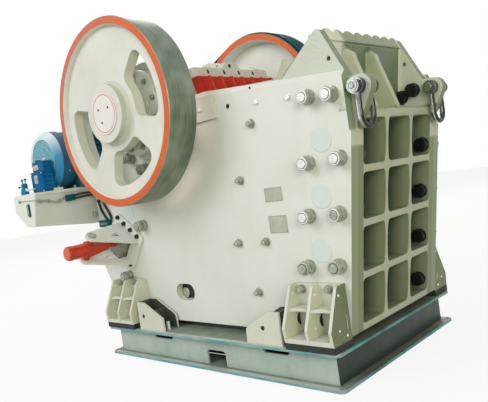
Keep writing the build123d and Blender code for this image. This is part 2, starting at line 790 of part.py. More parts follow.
# Flywheel: rim, recessed web with three openings, hub; the drive wheel has belt grooves
def spoke_opening(angle):
    half = radians(spoke_half_angle)
    start = Rot(0, 0, angle)
    outer = ThreePointArc((spoke_outer * cos(-half), spoke_outer * sin(-half)), (spoke_outer, 0),
                          (spoke_outer * cos(half), spoke_outer * sin(half)))
    inner = ThreePointArc((spoke_inner * cos(-half), spoke_inner * sin(-half)), (spoke_inner, 0),
                          (spoke_inner * cos(half), spoke_inner * sin(half)))
    sides = [Line(outer @ 0, inner @ 0), Line(outer @ 1, inner @ 1)]
    face = make_face([outer, inner, *sides])
    face = fillet(face.vertices(), spoke_fillet)
    return start * face


# The wheel is one turned profile, as radius and Y, with three openings cut through its web
def make_flywheel(grooved):
    outer, inner = -wheel_outer_y, -wheel_inner_y
    web_out = outer + web_recess
    web_in = web_out + wheel_web
    rim_in = wheel_radius - rim_thick
    hub_end = outer - hub_out
    step = rim_in - rim_step
    points = [(shaft_radius, hub_end), (hub_radius, hub_end), (hub_radius, web_out - hub_chamfer),
              (hub_radius + hub_chamfer, web_out), (step, web_out), (rim_in, outer),
              (wheel_radius - rim_chamfer, outer), (wheel_radius, outer + rim_chamfer)]
    if grooved:
        points += groove_line(wheel_radius, -sheave_y)
    points += [(wheel_radius, inner - rim_chamfer), (wheel_radius - rim_chamfer, inner), (rim_in, inner),
               (rim_in - rim_draft, web_in), (hub_radius + hub_chamfer, web_in),
               (hub_radius, web_in + hub_chamfer), (hub_radius, -hub_inner_y),
               (shaft_radius, -hub_inner_y)]
    wheel = revolve(outline(points), Axis.Y)
    for angle in spoke_angles:
        wheel -= slab(spoke_opening(angle), web_out - web_recess, web_in + web_recess)
    return Pos(shaft_x, 0, shaft_z) * wheel


def make_shaft():
    outer = wheel_outer_y + hub_out
    shaft = rod(shaft_x, shaft_z, shaft_radius, -outer, outer)
    reach = plate_outer + housing_cover_out + journal_reach
    shaft += rod(shaft_x, shaft_z, journal_radius, -reach, reach)
    middle = leg_inner - eccentric_clear
    return shaft + rod(shaft_x, shaft_z, eccentric_radius, -middle, middle)


def make_hub_cap():
    outer = wheel_outer_y + hub_out
    return rod(shaft_x, shaft_z, cap_radius, -outer - cap_thick, -outer)


# Shackle: a bow with two eyes and its pin, hanging from the ear
def make_shackle_bow():
    y = -(plate_inner + leg_inner) / 2
    leg_y = shackle_jaw + shackle_eye_thick / 2
    bow = Part()
    for side in (-1, 1):
        middle = y + side * leg_y
        eye = rod(ear_x, ear_z, shackle_eye_radius, middle - shackle_eye_thick / 2,
                  middle + shackle_eye_thick / 2)
        bow += eye - rod(ear_x, ear_z, shackle_pin_radius + shackle_pin_fit, y - 2 * leg_y, y + 2 * leg_y)
    start, end = ear_z - shackle_eye_radius + shackle_bar, ear_z - shackle_bow_drop
    path = [Line((ear_x, y - leg_y, start), (ear_x, y - leg_y, end)),
            ThreePointArc((ear_x, y - leg_y, end), (ear_x, y, end - leg_y), (ear_x, y + leg_y, end)),
            Line((ear_x, y + leg_y, end), (ear_x, y + leg_y, start))]
    section = RegularPolygon(shackle_bar, shackle_bow_sides, major_radius=True)
    section = Plane((ear_x, y - leg_y, start), x_dir=(1, 0, 0), z_dir=(0, 0, -1)) * section
    return bow + sweep(section, Wire(path))


def make_shackle_pin():
    y = -(plate_inner + leg_inner) / 2
    reach = shackle_jaw + shackle_eye_thick
    pin = rod(ear_x, ear_z, shackle_pin_radius, y - reach - shackle_head, y + reach + shackle_nut)
    head = shackle_pin_radius + shackle_head_edge
    return pin + rod(ear_x, ear_z, head, y - reach - shackle_head, y - reach - fit_gap)


# Cheek plate: lines the chamber's side, with a corner that rises behind the horn
def make_cheek():
    low = plate_bottom + cheek_rise
    back = leg_depth + cheek_gap
    heel = horn_heel[0] - cheek_gap
    slope = (horn_peak[1] - horn_heel[1]) / (horn_peak[0] - horn_heel[0])
    lift = horn_heel[1] + cheek_gap * sqrt(1 + slope ** 2)
    shape = ((front_x(low) - back, low), (front_x(leg_back_z) - back, leg_back_z), (heel, cheek_step_z),
             (heel, lift), (cheek_touch_x, lift + slope * (cheek_touch_x - horn_heel[0])), cheek_corner,
             cheek_shoulder, (cheek_rear_x[0], cheek_rear_top), (cheek_rear_x[1], cheek_rear_top),
             (cheek_foot_x, low))
    return slab(shape, -plate_inner, -plate_inner + cheek_thick)


# Clamp bar: holds the moving die's top edge, with a hump at the middle and round end corners
def make_clamp_bar():
    low = jaw_top_z + fit_gap
    top = low + clamp_height
    narrow, wide, rise = clamp_hump
    shape = outline(((-clamp_half, low), (clamp_half, low), (clamp_half, top), (wide, top),
                     (narrow, top + rise), (-narrow, top + rise), (-wide, top), (-clamp_half, top)))
    for side in (-1, 1):
        shape = round_corner(shape, (side * clamp_half, top), clamp_corner)
    return rib(shape, jaw_x(jaw_top_z, clamp_back), jaw_x(jaw_top_z, clamp_front))


# Motor base: a box beam with a dropped middle, and the arm that ties it to the rear casting
def make_motor_base():
    top = motor_base_top
    side = top - motor_base_depth
    low = side - motor_base_drop
    shape = outline(((-motor_base_half, top), (-motor_base_half, side), (-motor_arm_half, low),
                     (motor_arm_half, low), (motor_base_half, side), (motor_base_half, top)))
    heel_x, heel_z = motor_base_heel
    ends = ((motor_base_x0, top), (motor_base_x0, side + heel_z), (motor_base_x0 + heel_x, side),
            (motor_base_x0 + heel_x, low), (motor_base_x1 - motor_base_rake * (top - side), low),
            (motor_base_x1 - motor_base_rake * (top - side), side), (motor_base_x1, top))
    base = rib(shape, motor_base_x0, motor_base_x1) & slab(ends, -motor_base_half, motor_base_half)
    length, width, depth = motor_base_slot
    slot = Pos(motor_base_x0 + motor_base_slot_x, (top + side) / 2) * SlotOverall(length, width, 90)
    base -= slab(slot, -motor_base_half, -motor_base_half + depth)
    arm = ((motor_base_x1, top - motor_arm_top_drop), (motor_base_x1, low + motor_arm_low_rise),
           *motor_arm_line)
    return base + slab(arm, -motor_arm_half, motor_arm_half)


# Motor: a finned body between two end shields, its feet and the drive shaft
def make_motor():
    front = motor_fan_y + motor_cowl_length
    body = Circle(motor_body_radius)
    for number in range(motor_fin_count):
        turn = Rot(0, 0, number * 360 / motor_fin_count)
        body += turn * Pos(motor_fin_reach / 2, 0) * Rectangle(motor_fin_reach, motor_fin_thick)
    rear = motor_drive_y - motor_shield_length
    motor = slab(Pos(motor_x, motor_z) * body, front + motor_shield_length, rear)
    for y in (front, rear):
        motor += rod(motor_x, motor_z, motor_shield_radius, y, y + motor_shield_length)
    for y in (motor_fan_y + motor_foot_inset, motor_drive_y - motor_foot_inset - motor_foot_length):
        for x in (motor_x - motor_foot_x, motor_x + motor_foot_x):
            motor += box(x - motor_foot_half, x + motor_foot_half, y, y + motor_foot_length, motor_base_top,
                         motor_base_top + motor_foot_rise)
    shaft_end = wheel_outer_y - motor_shaft_inset
    return motor + rod(motor_x, motor_z, motor_shaft_radius, motor_drive_y, shaft_end)


# Fan cowl: a turned shell with a coned end and a recessed grille disc
def make_cowl():
    end = motor_fan_y + motor_cowl_length - fit_gap
    radius, cone = motor_cowl_cone
    face = motor_fan_y + motor_grille_recess
    shape = outline(((0, face), (motor_grille_radius, face), (motor_grille_radius, motor_fan_y),
                     (radius, motor_fan_y), (motor_cowl_radius, motor_fan_y + cone),
                     (motor_cowl_radius, end), (0, end)))
    return Pos(motor_x, 0, motor_z) * revolve(shape, Axis.Y)


# The zigzag of the belt grooves, as radius and Y, from a rim's -Y edge to its +Y edge
def groove_line(radius, middle):
    start = middle - groove_pitch * groove_count / 2
    points = [(radius, start)]
    for number in range(groove_count):
        y = start + number * groove_pitch
        points += [(radius - groove_depth, y + groove_pitch / 2), (radius, y + groove_pitch)]
    return points


def make_sheave():
    bore = motor_shaft_radius + run_gap
    low, high = sheave_y - sheave_half, sheave_y + sheave_half
    shape = outline(((bore, low), (sheave_radius, low), *groove_line(sheave_radius, sheave_y),
                     (sheave_radius, high), (bore, high)))
    return Pos(motor_x, 0, motor_z) * revolve(shape, Axis.Y)


# Belts: one band round both pulleys, tangent to each
def make_belts():
    def loop(r_drive, r_wheel):
        dx, dz = shaft_x - motor_x, shaft_z - motor_z
        reach = sqrt(dx ** 2 + dz ** 2)
        turn = atan2(dz, dx)
        lean = (r_wheel - r_drive) / reach
        tilt = atan2(lean, sqrt(1 - lean ** 2))
        points = []
        for side in (1, -1):
            angle = turn + side * (radians(90) + tilt)
            points.append((motor_x + r_drive * cos(angle), motor_z + r_drive * sin(angle)))
            points.append((shaft_x + r_wheel * cos(angle), shaft_z + r_wheel * sin(angle)))
        back = (motor_x - r_drive * cos(turn), motor_z - r_drive * sin(turn))
        front = (shaft_x + r_wheel * cos(turn), shaft_z + r_wheel * sin(turn))
        edges = [Line(points[0], points[1]), ThreePointArc(points[1], front, points[3]),
                 Line(points[3], points[2]), ThreePointArc(points[2], back, points[0])]
        return make_face(edges)

    drive = sheave_radius + belt_clear
    wheel = wheel_radius + belt_clear
    band = loop(drive + belt_thick, wheel + belt_thick) - loop(drive, wheel)
    half = groove_pitch * groove_count / 2
    return slab(band, sheave_y - half, sheave_y + half)


def make_hydraulic_unit():
    y1 = motor_fan_y - hydraulic_gap
    x = motor_x + hydraulic_shift
    length, depth, height = hydraulic_tank
    unit = box(x - length / 2, x + length / 2, y1 - depth, y1, motor_base_top, motor_base_top + height)
    low = motor_base_top + height
    length, depth, height = hydraulic_head
    return unit + box(x - length / 2, x + length / 2, y1 - depth, y1, low, low + height)


os.makedirs("parts", exist_ok=True)

long_beam = make_long_beam()
save("base_beam_near", long_beam)
save("base_beam_far", far(long_beam))
save("base_beam_front", make_end_beam(1))
save("base_beam_rear", make_end_beam(-1))

pads = make_pad(front_foot_x) + make_pad(rear_foot_x)
save("rubber_pads", pads + far(pads))
for name, centre in (("front", front_foot_x), ("rear", rear_foot_x)):
    foot = make_foot(centre)
    save("foot_" + name + "_near", foot)
    save("foot_" + name + "_far", far(foot))
front_edge = front_foot_x - foot_length / 2
rear_edge = rear_foot_x + foot_length / 2
for name, edge, side in (("front", front_edge, -1), ("rear", rear_edge, 1)):
    stop = make_stop(edge, side)
    save("stop_" + name + "_near", stop)
    save("stop_" + name + "_far", far(stop))
buffers = make_buffer(front_edge, -1) + make_buffer(rear_edge, 1)
save("stop_buffers", buffers + far(buffers))

side_plate = make_side_plate()
save("side_plate_near", side_plate)
save("side_plate_far", far(side_plate))
save("front_end_casting", make_front_casting())
save("rear_end_casting", make_rear_casting())
save("fixed_jaw_die", make_fixed_die())
cheek = make_cheek()
save("cheek_plate_near", cheek)
save("cheek_plate_far", far(cheek))
save("toggle_plate", make_toggle())
save("toggle_beam", make_toggle_beam())
near_wedge = make_near_wedge()
save("adjusting_wedge_near", near_wedge)
cylinder = make_cylinder()
save("wedge_cylinder_near", cylinder)
save("wedge_cylinder_far", far(cylinder))
bracket = make_bracket()
save("wedge_bracket_near", bracket)
save("wedge_bracket_far", far(bracket))
far_wedge = far(near_wedge)
centre_axis = Axis(tuple(wedge_centre), (0, 1, 0))
save("adjusting_wedge_far", far_wedge.rotate(centre_axis, 180))
housing = make_bearing_housing()
save("bearing_housing_near", housing)
save("bearing_housing_far", far(housing))

save("flywheel_near", make_flywheel(False))
save("flywheel_far", far(make_flywheel(True)))
save("eccentric_shaft", make_shaft())
cap = make_hub_cap()
save("hub_caps", cap + far(cap))

save("pitman", make_pitman())
save("moving_jaw_die", make_moving_die())
save("jaw_clamp_bar", make_clamp_bar())

bow = make_shackle_bow()
pin = make_shackle_pin()
save("shackle_bow_near", bow)
save("shackle_bow_far", far(bow))
save("shackle_pin_near", pin)
save("shackle_pin_far", far(pin))

save("motor_base", make_motor_base())
save("motor_frame", make_motor())
save("motor_fan_cowl", make_cowl())
save("motor_sheave", make_sheave())
save("v_belts", make_belts())
save("hydraulic_unit", make_hydraulic_unit())
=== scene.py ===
import bpy
import bmesh
import json
from math import atan2, cos, degrees, hypot, pi, radians, sin, sqrt
from mathutils import Matrix, Vector


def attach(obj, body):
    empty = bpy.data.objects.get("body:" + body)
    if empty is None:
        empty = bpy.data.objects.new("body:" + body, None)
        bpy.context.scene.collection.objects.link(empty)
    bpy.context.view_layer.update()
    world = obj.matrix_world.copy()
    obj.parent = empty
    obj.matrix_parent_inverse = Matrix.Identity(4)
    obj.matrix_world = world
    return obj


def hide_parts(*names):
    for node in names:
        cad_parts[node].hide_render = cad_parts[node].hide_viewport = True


# A jaw crusher in soft studio light: finishes, fasteners and small fittings on the fixed frame.
# Places and sizes are in millimetres, as in the CAD, and meshes are made in metres.
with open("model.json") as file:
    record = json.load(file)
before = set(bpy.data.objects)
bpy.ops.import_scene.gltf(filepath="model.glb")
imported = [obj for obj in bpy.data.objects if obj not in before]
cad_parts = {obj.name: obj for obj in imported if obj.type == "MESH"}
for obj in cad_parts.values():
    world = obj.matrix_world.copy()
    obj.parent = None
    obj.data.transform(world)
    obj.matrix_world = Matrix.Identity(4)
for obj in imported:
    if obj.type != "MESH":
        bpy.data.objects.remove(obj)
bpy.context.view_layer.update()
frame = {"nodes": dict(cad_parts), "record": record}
nodes = frame["nodes"]
mm = 0.001
print("frame loaded:", len(nodes), "nodes")


# Colours are written as sRGB hex, and this turns one to the linear values that the shaders take
def srgb(hexCode, alpha=1.0):
    parts = [int(hexCode[i:i + 2], 16) / 255 for i in (1, 3, 5)]
    linear = [c / 12.92 if c <= 0.04045 else ((c + 0.055) / 1.055) ** 2.4 for c in parts]
    return (*linear, alpha)


# Adds a node, sets its values and joins its inputs; a link is (input, other node, output). The small
# functions below it each add one kind of node to the tree that their first node is in
def addNode(tree, kind, settings=(), links=()):
    node = tree.nodes.new(kind)
    for key, value in dict(settings).items():
        if isinstance(key, str) and hasattr(node, key):
            setattr(node, key, value)
        else:
            node.inputs[key].default_value = value
    for socket, source, output in links:
        tree.links.new(source.outputs[output], node.inputs[socket])
    return node


def newMaterial(name):
    material = bpy.data.materials.new(name)
    material.use_nodes = True
    tree = material.node_tree
    tree.nodes.clear()
    shader = addNode(tree, "ShaderNodeBsdfPrincipled")
    addNode(tree, "ShaderNodeOutputMaterial", links=[("Surface", shader, "BSDF")])
    return material, tree, shader


def calc(operation, links, values={}):
    return addNode(links[0][1].id_data, "ShaderNodeMath", {"operation": operation, **values}, links)


def ramp(source, output, low=0.0, high=1.0, start=0.0, stop=1.0):
    return addNode(source.id_data, "ShaderNodeMapRange",
                   {"From Min": low, "From Max": high, "To Min": start, "To Max": stop},
                   [("Value", source, output)])


def noise(source, output, scale, detail, rough=0.5):
    return addNode(source.id_data, "ShaderNodeTexNoise",
                   {"Scale": scale, "Detail": detail, "Roughness": rough}, [("Vector", source, output)])


# One colour where the mask is 0, and another where it is 1
def blend(mask, one, other):
    return addNode(mask.id_data, "ShaderNodeMix", {"data_type": "RGBA", 6: srgb(one), 7: srgb(other)},
                   [(0, mask, 0)])


# Where the mask is 1 a new value lies over what fed the shader's socket before
def layOver(shader, socket, mask, value):
    tree, into = shader.id_data, shader.inputs[socket]
    colour = socket == "Base Color"
    before, after, out = (6, 7, 2) if colour else (2, 3, 0)
    mix = addNode(tree, "ShaderNodeMix", {"data_type": "RGBA" if colour else "FLOAT"}, [(0, mask, 0)])
    if into.is_linked:
        tree.links.new(into.links[0].from_socket, mix.inputs[before])
    else:
        mix.inputs[before].default_value = into.default_value
    if isinstance(value, str):
        mix.inputs[after].default_value = srgb(value)
    elif isinstance(value, float):
        mix.inputs[after].default_value = value
    else:
        tree.links.new(value.outputs[2 if colour else 0], mix.inputs[after])
    tree.links.new(mix.outputs[out], into)


def paint(shader, mask, value):
    layOver(shader, "Base Color", mask, value)


# 1 where the value is between two limits, fading over the given softness
def between(source, output, low, high, soft=0.001):
    return both(ramp(source, output, low - soft, low + soft),
                ramp(source, output, high + soft, high - soft))


def both(one, other):
    return calc("MULTIPLY", [(0, one, 0), (1, other, 0)])


# Where a point is, which way its face looks, and how far it stands from the middle plane
def placeNodes(place):
    spot, facing = (addNode(place.id_data, "ShaderNodeSeparateXYZ", links=[(0, place, output)])
                    for output in ("Object", "Normal"))
    nearY = calc("ABSOLUTE", [(0, spot, 1)])
    return spot, facing, nearY


# How far a point is from an axis along Y, in metres
def fromAxis(place, centre):
    tree = place.id_data
    offset = addNode(tree, "ShaderNodeVectorMath", {"operation": "SUBTRACT", 1: centre},
                     [(0, place, "Object")])
    flat = addNode(tree, "ShaderNodeVectorMath", {"operation": "MULTIPLY", 1: (1, 0, 1)}, [(0, offset, 0)])
    return addNode(tree, "ShaderNodeVectorMath", {"operation": "LENGTH"}, [(0, flat, 0)])


# A coat of paint or a plain surface: broad patches, runs down the sides, painted shade that darkens it
# where faces meet, and a grain that lifts the surface. Lengths are millimetres. A fine grain is drawn
# coarser than real so that it shows.
def coat(name, facts):
    material, tree, shader = newMaterial(name)
    place = addNode(tree, "ShaderNodeTexCoord")
    patches = noise(place, "Object", 1000 / facts["patch"], 4.0, 0.6)
    mottle = ramp(patches, 0, 0.36, 0.66)
    tone = blend(mottle, facts["colour"], facts["shade"])
    tree.links.new(tone.outputs[2], shader.inputs["Base Color"])
    across, down = facts.get("runs", (60, 900))
    stretched = addNode(tree, "ShaderNodeVectorMath",
                        {"operation": "MULTIPLY", 1: (1000 / across, 1000 / across, 1000 / down)},
                        [(0, place, "Object")])
    runs = noise(stretched, 0, 1.0, 3.0)
    stain = ramp(runs, 0, 0.55, 0.8, stop=facts.get("stain", 0.25))
    paint(shader, stain, facts["dirtAndShade"])
    # Painted shade: an ambient-occlusion node darkens the colour where faces meet
    corner = addNode(tree, "ShaderNodeAmbientOcclusion",
                     {"samples": 6, "Distance": facts.get("cornerReach", 90) * mm})
    cornerShade = ramp(corner, "AO", 0.8, 0.25, stop=facts.get("cornerShade", 0.5))
    paint(shader, cornerShade, facts["dirtAndShade"])
    grain = noise(place, "Object", 1000 / facts["grain"], 2.0)
    gloss = ramp(patches, 0, 0.3, 0.7, start=facts["roughness"] - 0.07, stop=facts["roughness"] + 0.09)
    tree.links.new(gloss.outputs[0], shader.inputs["Roughness"])
    shader.inputs["Metallic"].default_value = facts.get("metallic", 0.0)
    shader.inputs["Coat Weight"].default_value = facts.get("clear", 0.0)
    shader.inputs["Specular IOR Level"].default_value = facts.get("shine", 0.5)
    rounded = addNode(tree, "ShaderNodeBevel", {"samples": 4, "Radius": facts.get("edge", 4) * mm})
    relief = addNode(tree, "ShaderNodeBump",
                     {"Strength": facts.get("relief", 0.12), "Distance": facts["grain"] * mm * 0.5},
                     [("Height", grain, 0), ("Normal", rounded, 0)])
    tree.links.new(relief.outputs[0], shader.inputs["Normal"])
    return material, shader, place


# Two-pack machinery enamel, sprayed on rolled plate: an even satin cream with faint orange peel and dust
creamFacts = {"colour": "#e1e3dc", "shade": "#dcded5", "dirtAndShade": "#a9a995", "patch": 520, "grain": 7,
              "roughness": 0.42, "stain": 0.08, "runs": (110, 1500), "cornerShade": 0.35, "edge": 5,
              "relief": 0.06}
creamEnamel = coat("creamEnamel", creamFacts)[0]

# The same enamel over sand-cast steel: coarser skin, fuller edges and more painted shade in the hollows
roughCastFacts = dict(creamFacts, colour="#dcddd1", shade="#cfd1c2", grain=16, relief=0.3, edge=9,
                      cornerShade=0.45, cornerReach=160)
roughCastEnamel = coat("roughCastEnamel", roughCastFacts)[0]

# Front casting: enamel on cast steel, cream where the sides were sprayed with the plates, a little darker
# on the horns as painted shade. The front and the pockets are olive-grey as painted shade, darker still
# with depth in the pockets and the bay, and the rib fronts, gussets, far leg face and part of the near bay
# are painted light
frontFacts = {"base": dict(roughCastFacts, colour="#969f7f", shade="#8b9475", dirtAndShade="#5a664a", stain=0.15,
                           edge=12), "frontFoot": 1.3342, "frontLean": 0.1636, "legInner": 0.527,
              "sideFace": 0.59, "shelfTop": 1.935, "bayTop": 2.46, "lipTop": 2.56,
              "pocketDepth": (0.05, 0.19), "pocket": "#42553a", "bayShade": "#68785a", "litRibFace": "#b4b99f",
              "ribDepth": 0.03, "gusset": "#b9c4a0", "gussets": ((-0.353, -0.295), (-0.029, 0.029)),
              "gussetHeight": (1.95, 2.4), "litFarHorn": "#d4d8c2", "farHornY": (0.5, 0.535),
              "farHornHeight": (1.95, 2.6), "legFrontShade": "#7b8763", "patch": (1.686, 1.798, "#c6c5b0"),
              "cream": "#c4cabd", "wave": "#c3c7ae", "waveLine": (-0.492, 2.677), "crestLow": 2.518,
              "crestBack": 0.03, "litNearBay": (-0.56, -0.35, "#dcdac8"), "die": "#c3492c", "toothHalf": 0.07,
              "sliver": (0.03, 0.055)}


def frontCastingFinish(facts):
    material, shader, place = coat("frontCastingEnamelWithLightAndShade", facts["base"])
    spot, facing, nearY = placeNodes(place)
    line = calc("MULTIPLY_ADD", [(0, spot, 2)], {1: facts["frontLean"], 2: facts["frontFoot"]})
    depth = calc("SUBTRACT", [(0, line, 0), (1, spot, 0)])
    shallow, deep = facts["pocketDepth"]
    sunk = ramp(depth, 0, shallow, deep)
    shelf = facts["shelfTop"]
    inside = between(nearY, 0, -1.0, facts["legInner"] + 0.004)
    inPocket = both(inside, between(spot, 2, 0.0, shelf - 0.01))
    # Painted shade: the pockets darken with depth
    paint(shader, both(sunk, inPocket), facts["pocket"])
    inBay = both(inside, between(spot, 2, shelf, facts["bayTop"], 0.03))
    # Painted shade: the bay under the lip darkens with depth
    paint(shader, both(sunk, inBay), facts["bayShade"])
    # Painted light: the rib fronts are lighter
    litRibFace = both(inPocket, between(facing, 0, 0.6, 2.0, 0.1))
    litRibFace = both(litRibFace, between(depth, 0, -1.0, facts["ribDepth"], 0.01))
    paint(shader, litRibFace, facts["litRibFace"])
    # Painted light: the gusset faces and the far leg's inner face are lighter
    first, second = (between(spot, 1, *limits) for limits in facts["gussets"])
    gussets = calc("MAXIMUM", [(0, first, 0), (1, second, 0)])
    high = between(spot, 2, *facts["gussetHeight"], 0.01)
    paint(shader, both(gussets, high), facts["gusset"])
    high = between(spot, 2, *facts["farHornHeight"], 0.01)
    paint(shader, both(between(spot, 1, *facts["farHornY"]), high), facts["litFarHorn"])
    # Painted shade: the legs' front faces are olive-dark
    onLeg = both(between(nearY, 0, facts["legInner"], 2.0), between(facing, 0, 0.5, 2.0, 0.1))
    paint(shader, onLeg, facts["legFrontShade"])
    low, high, paler = facts["patch"]
    paint(shader, both(onLeg, between(spot, 2, low, high, 0.01)), paler)
    # The sides are cream, a little darker on the horns as painted shade
    sideways = calc("ABSOLUTE", [(0, facing, 1)])
    sprayed = both(between(sideways, 0, 0.8, 2.0, 0.1), between(nearY, 0, facts["sideFace"], 2.0))
    paint(shader, sprayed, facts["cream"])
    lean, foot = facts["waveLine"]
    edge = calc("MULTIPLY_ADD", [(0, spot, 2)], {1: lean, 2: foot})
    behind = calc("SUBTRACT", [(0, edge, 0), (1, spot, 0)])
    crest = both(between(behind, 0, facts["crestBack"], 1.0, 0.004),
                 between(spot, 2, facts["crestLow"], 3.0, 0.004))
    crest = both(crest, both(between(facing, 2, 0.25, 2.0, 0.05), inside))
    paint(shader, crest, facts["wave"])
    # Painted light: a lighter patch in the near bay
    nearEdge, farEdge, bright = facts["litNearBay"]
    lit = both(between(spot, 1, nearEdge, farEdge, 0.03), between(spot, 2, shelf, facts["lipTop"]))
    paint(shader, both(lit, inside), bright)
    phase = calc("PINGPONG", [(0, spot, 1)], {1: facts["toothHalf"]})
    leftFlank = both(between(facing, 1, -1.0, -0.25, 0.03), between(facing, 2, 0.3, 1.0, 0.03))
    onTop = both(between(spot, 2, facts["crestLow"] + 0.012, 3.0, 0.003), inside)
    sliver = both(both(leftFlank, onTop), between(phase, 0, *facts["sliver"], 0.004))
    paint(shader, sliver, facts["die"])
    return material


# Plates and feet: the same enamel, with painted shade on the faces that look forward. It is olive on those
# at the very front, but for a cream patch across the legs
endFacts = {"thin": "#8b9673", "forwardShade": "#cbcdbb", "from": 0.6, "front": 0.9,
            "patch": (1.686, 1.798, "#c6c5b0")}
# The feet's coat is a little darker than the cream, as painted shade
footShadedFacts = dict(creamFacts, colour="#d8dacd", shade="#cfd2c3")


def endShadedFinish(name, base, facts):
    material, shader, place = coat(name, base)
    spot, facing = placeNodes(place)[:2]
    # Painted shade: forward faces are darker, and olive at the very front
    forward = between(facing, 0, facts["from"], 2.0, 0.15)
    paint(shader, forward, facts["forwardShade"])
    front = both(forward, between(spot, 0, facts["front"], 3.0, 0.005))
    paint(shader, front, facts["thin"])
    low, high, paler = facts["patch"]
    paint(shader, both(front, between(spot, 2, low, high, 0.01)), paler)
    return material


plateEnamelWithShade = endShadedFinish("plateEnamelWithShade", creamFacts, endFacts)
footEnamelWithShade = endShadedFinish("footEnamelWithShade", footShadedFacts,
                             dict(endFacts, thin="#6b7751", forwardShade="#d2d1b8", front=1.36))


# Stops: enamel outside, and painted shade between their plates
stopFacts = {"base": footShadedFacts, "inner": (0.722, 0.862), "innerShade": "#3c4434"}


def stopFinish(facts):
    material, shader, place = coat("stopEnamel", facts["base"])
    nearY = placeNodes(place)[2]
    paint(shader, between(nearY, 0, *facts["inner"]), facts["innerShade"])
    return material


stopEnamel = stopFinish(stopFacts)

# Flywheels: enamelled cast web with painted shade on the window walls and the hub's side, an orange band
# round each rim face with a painted highlight of glare towards its top, and the turned tread. The near
# tread is cast iron turned bright under a greenish rust oil, so it is half metal with fine rings and a few
# tarnish bands
wheelFacts = {"web": dict(creamFacts, colour="#e2e3db", shade="#d8d9cf", dirtAndShade="#a5a58f", cornerShade=0.5,
                          cornerReach=120, edge=8), "shaft": (-0.51, 0, 2.313), "band": (0.757, 0.8225),
              "bandColour": "#d45c12", "bandGlare": "#cc6a52", "tread": 0.806, "windowRadii": (0.3, 0.66),
              "wall": "#d6d7c4", "hubRadius": 0.285, "hubSideShade": "#c3c7b4", "glareSoft": 1.3,
              "ringScale": (5, 160, 5), "bandScale": 3.2}
treadFacts = {"near": {"colour": "#8b9784", "dark": "#5d695a", "metallic": 0.5, "roughness": 0.36,
                       "glare": 2.9}, "far": {"colour": "#06565a", "dark": "#04484d", "metallic": 0.0,
                                              "roughness": 0.55, "glare": 9.0}}


def wheelFinish(name, facts, tread):
    material, shader, place = coat(name, facts["web"])
    radius = fromAxis(place, facts["shaft"])
    spot, facing = placeNodes(place)[:2]
    sideways = calc("ABSOLUTE", [(0, facing, 1)])
    flat = between(sideways, 0, 0.8, 2.0, 0.05)
    inward = between(sideways, 0, -1.0, 0.75, 0.05)
    # Painted shade: the window walls and the hub's side are a little darker than the web
    window = both(between(radius, 1, *facts["windowRadii"]), inward)
    paint(shader, window, facts["wall"])
    hub = both(between(radius, 1, -1.0, facts["hubRadius"]), inward)
    paint(shader, hub, facts["hubSideShade"])
    band = both(between(radius, 1, *facts["band"]), flat)
    # Painted highlight: the band turns pale towards the top and the rear, as glare on it
    high = calc("SUBTRACT", [(0, spot, 2), (1, spot, 0)])
    glare = ramp(high, 0, tread["glare"], tread["glare"] + facts["glareSoft"])
    orange = blend(glare, facts["bandColour"], facts["bandGlare"])
    paint(shader, band, orange)
    ringLines = addNode(place.id_data, "ShaderNodeVectorMath",
                        {"operation": "MULTIPLY", 1: facts["ringScale"]}, [(0, place, "Object")])
    lines = noise(ringLines, 0, 1.0, 3.0)
    bands = noise(place, "Object", facts["bandScale"], 2.0)
    mixed = calc("MULTIPLY_ADD", [(0, lines, 0), (2, bands, 0)], {1: 0.5})
    worn = ramp(mixed, 0, 0.6, 0.9)
    steel = blend(worn, tread["colour"], tread["dark"])
    onTread = both(between(radius, 1, facts["tread"], 2.0), inward)
    paint(shader, onTread, steel)
    layOver(shader, "Metallic", onTread, tread["metallic"])
    layOver(shader, "Roughness", onTread, tread["roughness"])
    return material


# Jaw dies and cheek plates: cast manganese steel under red shop paint, worn lighter along the ridges
dieFacts = {"base": {"colour": "#c0301f", "shade": "#b02c1e", "dirtAndShade": "#7c2a1c", "patch": 160, "grain": 12,
                     "roughness": 0.5, "stain": 0.2, "runs": (30, 500), "cornerShade": 0.2, "edge": 6,
                     "relief": 0.25, "cornerReach": 40, "shine": 0.2}, "ridge": "#d2603a", "pitch": 0.14,
            "ridgeHalf": 0.009, "scuffScale": 18.0, "openTop": 2.47, "openColour": "#d3d6c4"}


def dieFinish(name, facts, ridged):
    material, shader, place = coat(name, facts["base"])
    if ridged:
        spot = placeNodes(place)[0]
        away = calc("PINGPONG", [(0, spot, 1)], {1: facts["pitch"] / 2})
        ridge = between(away, 0, -1.0, facts["ridgeHalf"], 0.006)
        scuff = noise(place, "Object", facts["scuffScale"], 3.0)
        scuffed = ramp(scuff, 0, 0.35, 0.6, stop=0.8)
        paint(shader, both(ridge, scuffed), facts["ridge"])
    return material


# The fixed die's top stands in the open and took the casting's cream
def fixedDieFinish(facts):
    material, shader, place = coat("fixedDiePaint", facts["base"])
    spot = placeNodes(place)[0]
    paint(shader, between(spot, 2, facts["openTop"], 4.0, 0.01), facts["openColour"])
    return material


# Base: hot-rolled beams in grey-blue primer enamel, teal where the coat is thick along the flange edges,
# with dust on what faces up: pale on the outer edge, and dark further in, where it is painted shadow
beamFacts = {"base": {"colour": "#b2c0b6", "shade": "#a0b2aa", "dirtAndShade": "#6f8784", "patch": 260, "grain": 9,
                      "roughness": 0.5, "stain": 0.3, "runs": (70, 600), "cornerShade": 0.5, "edge": 4,
                      "relief": 0.12, "cornerReach": 70},
             "edgeColour": "#4f9aa4", "flange": 0.022, "height": 0.278, "dustAndShadow": "#6f7b68",
             "paleFrom": 0.868, "paleDust": "#cfd0c8", "thickScale": 6.0}


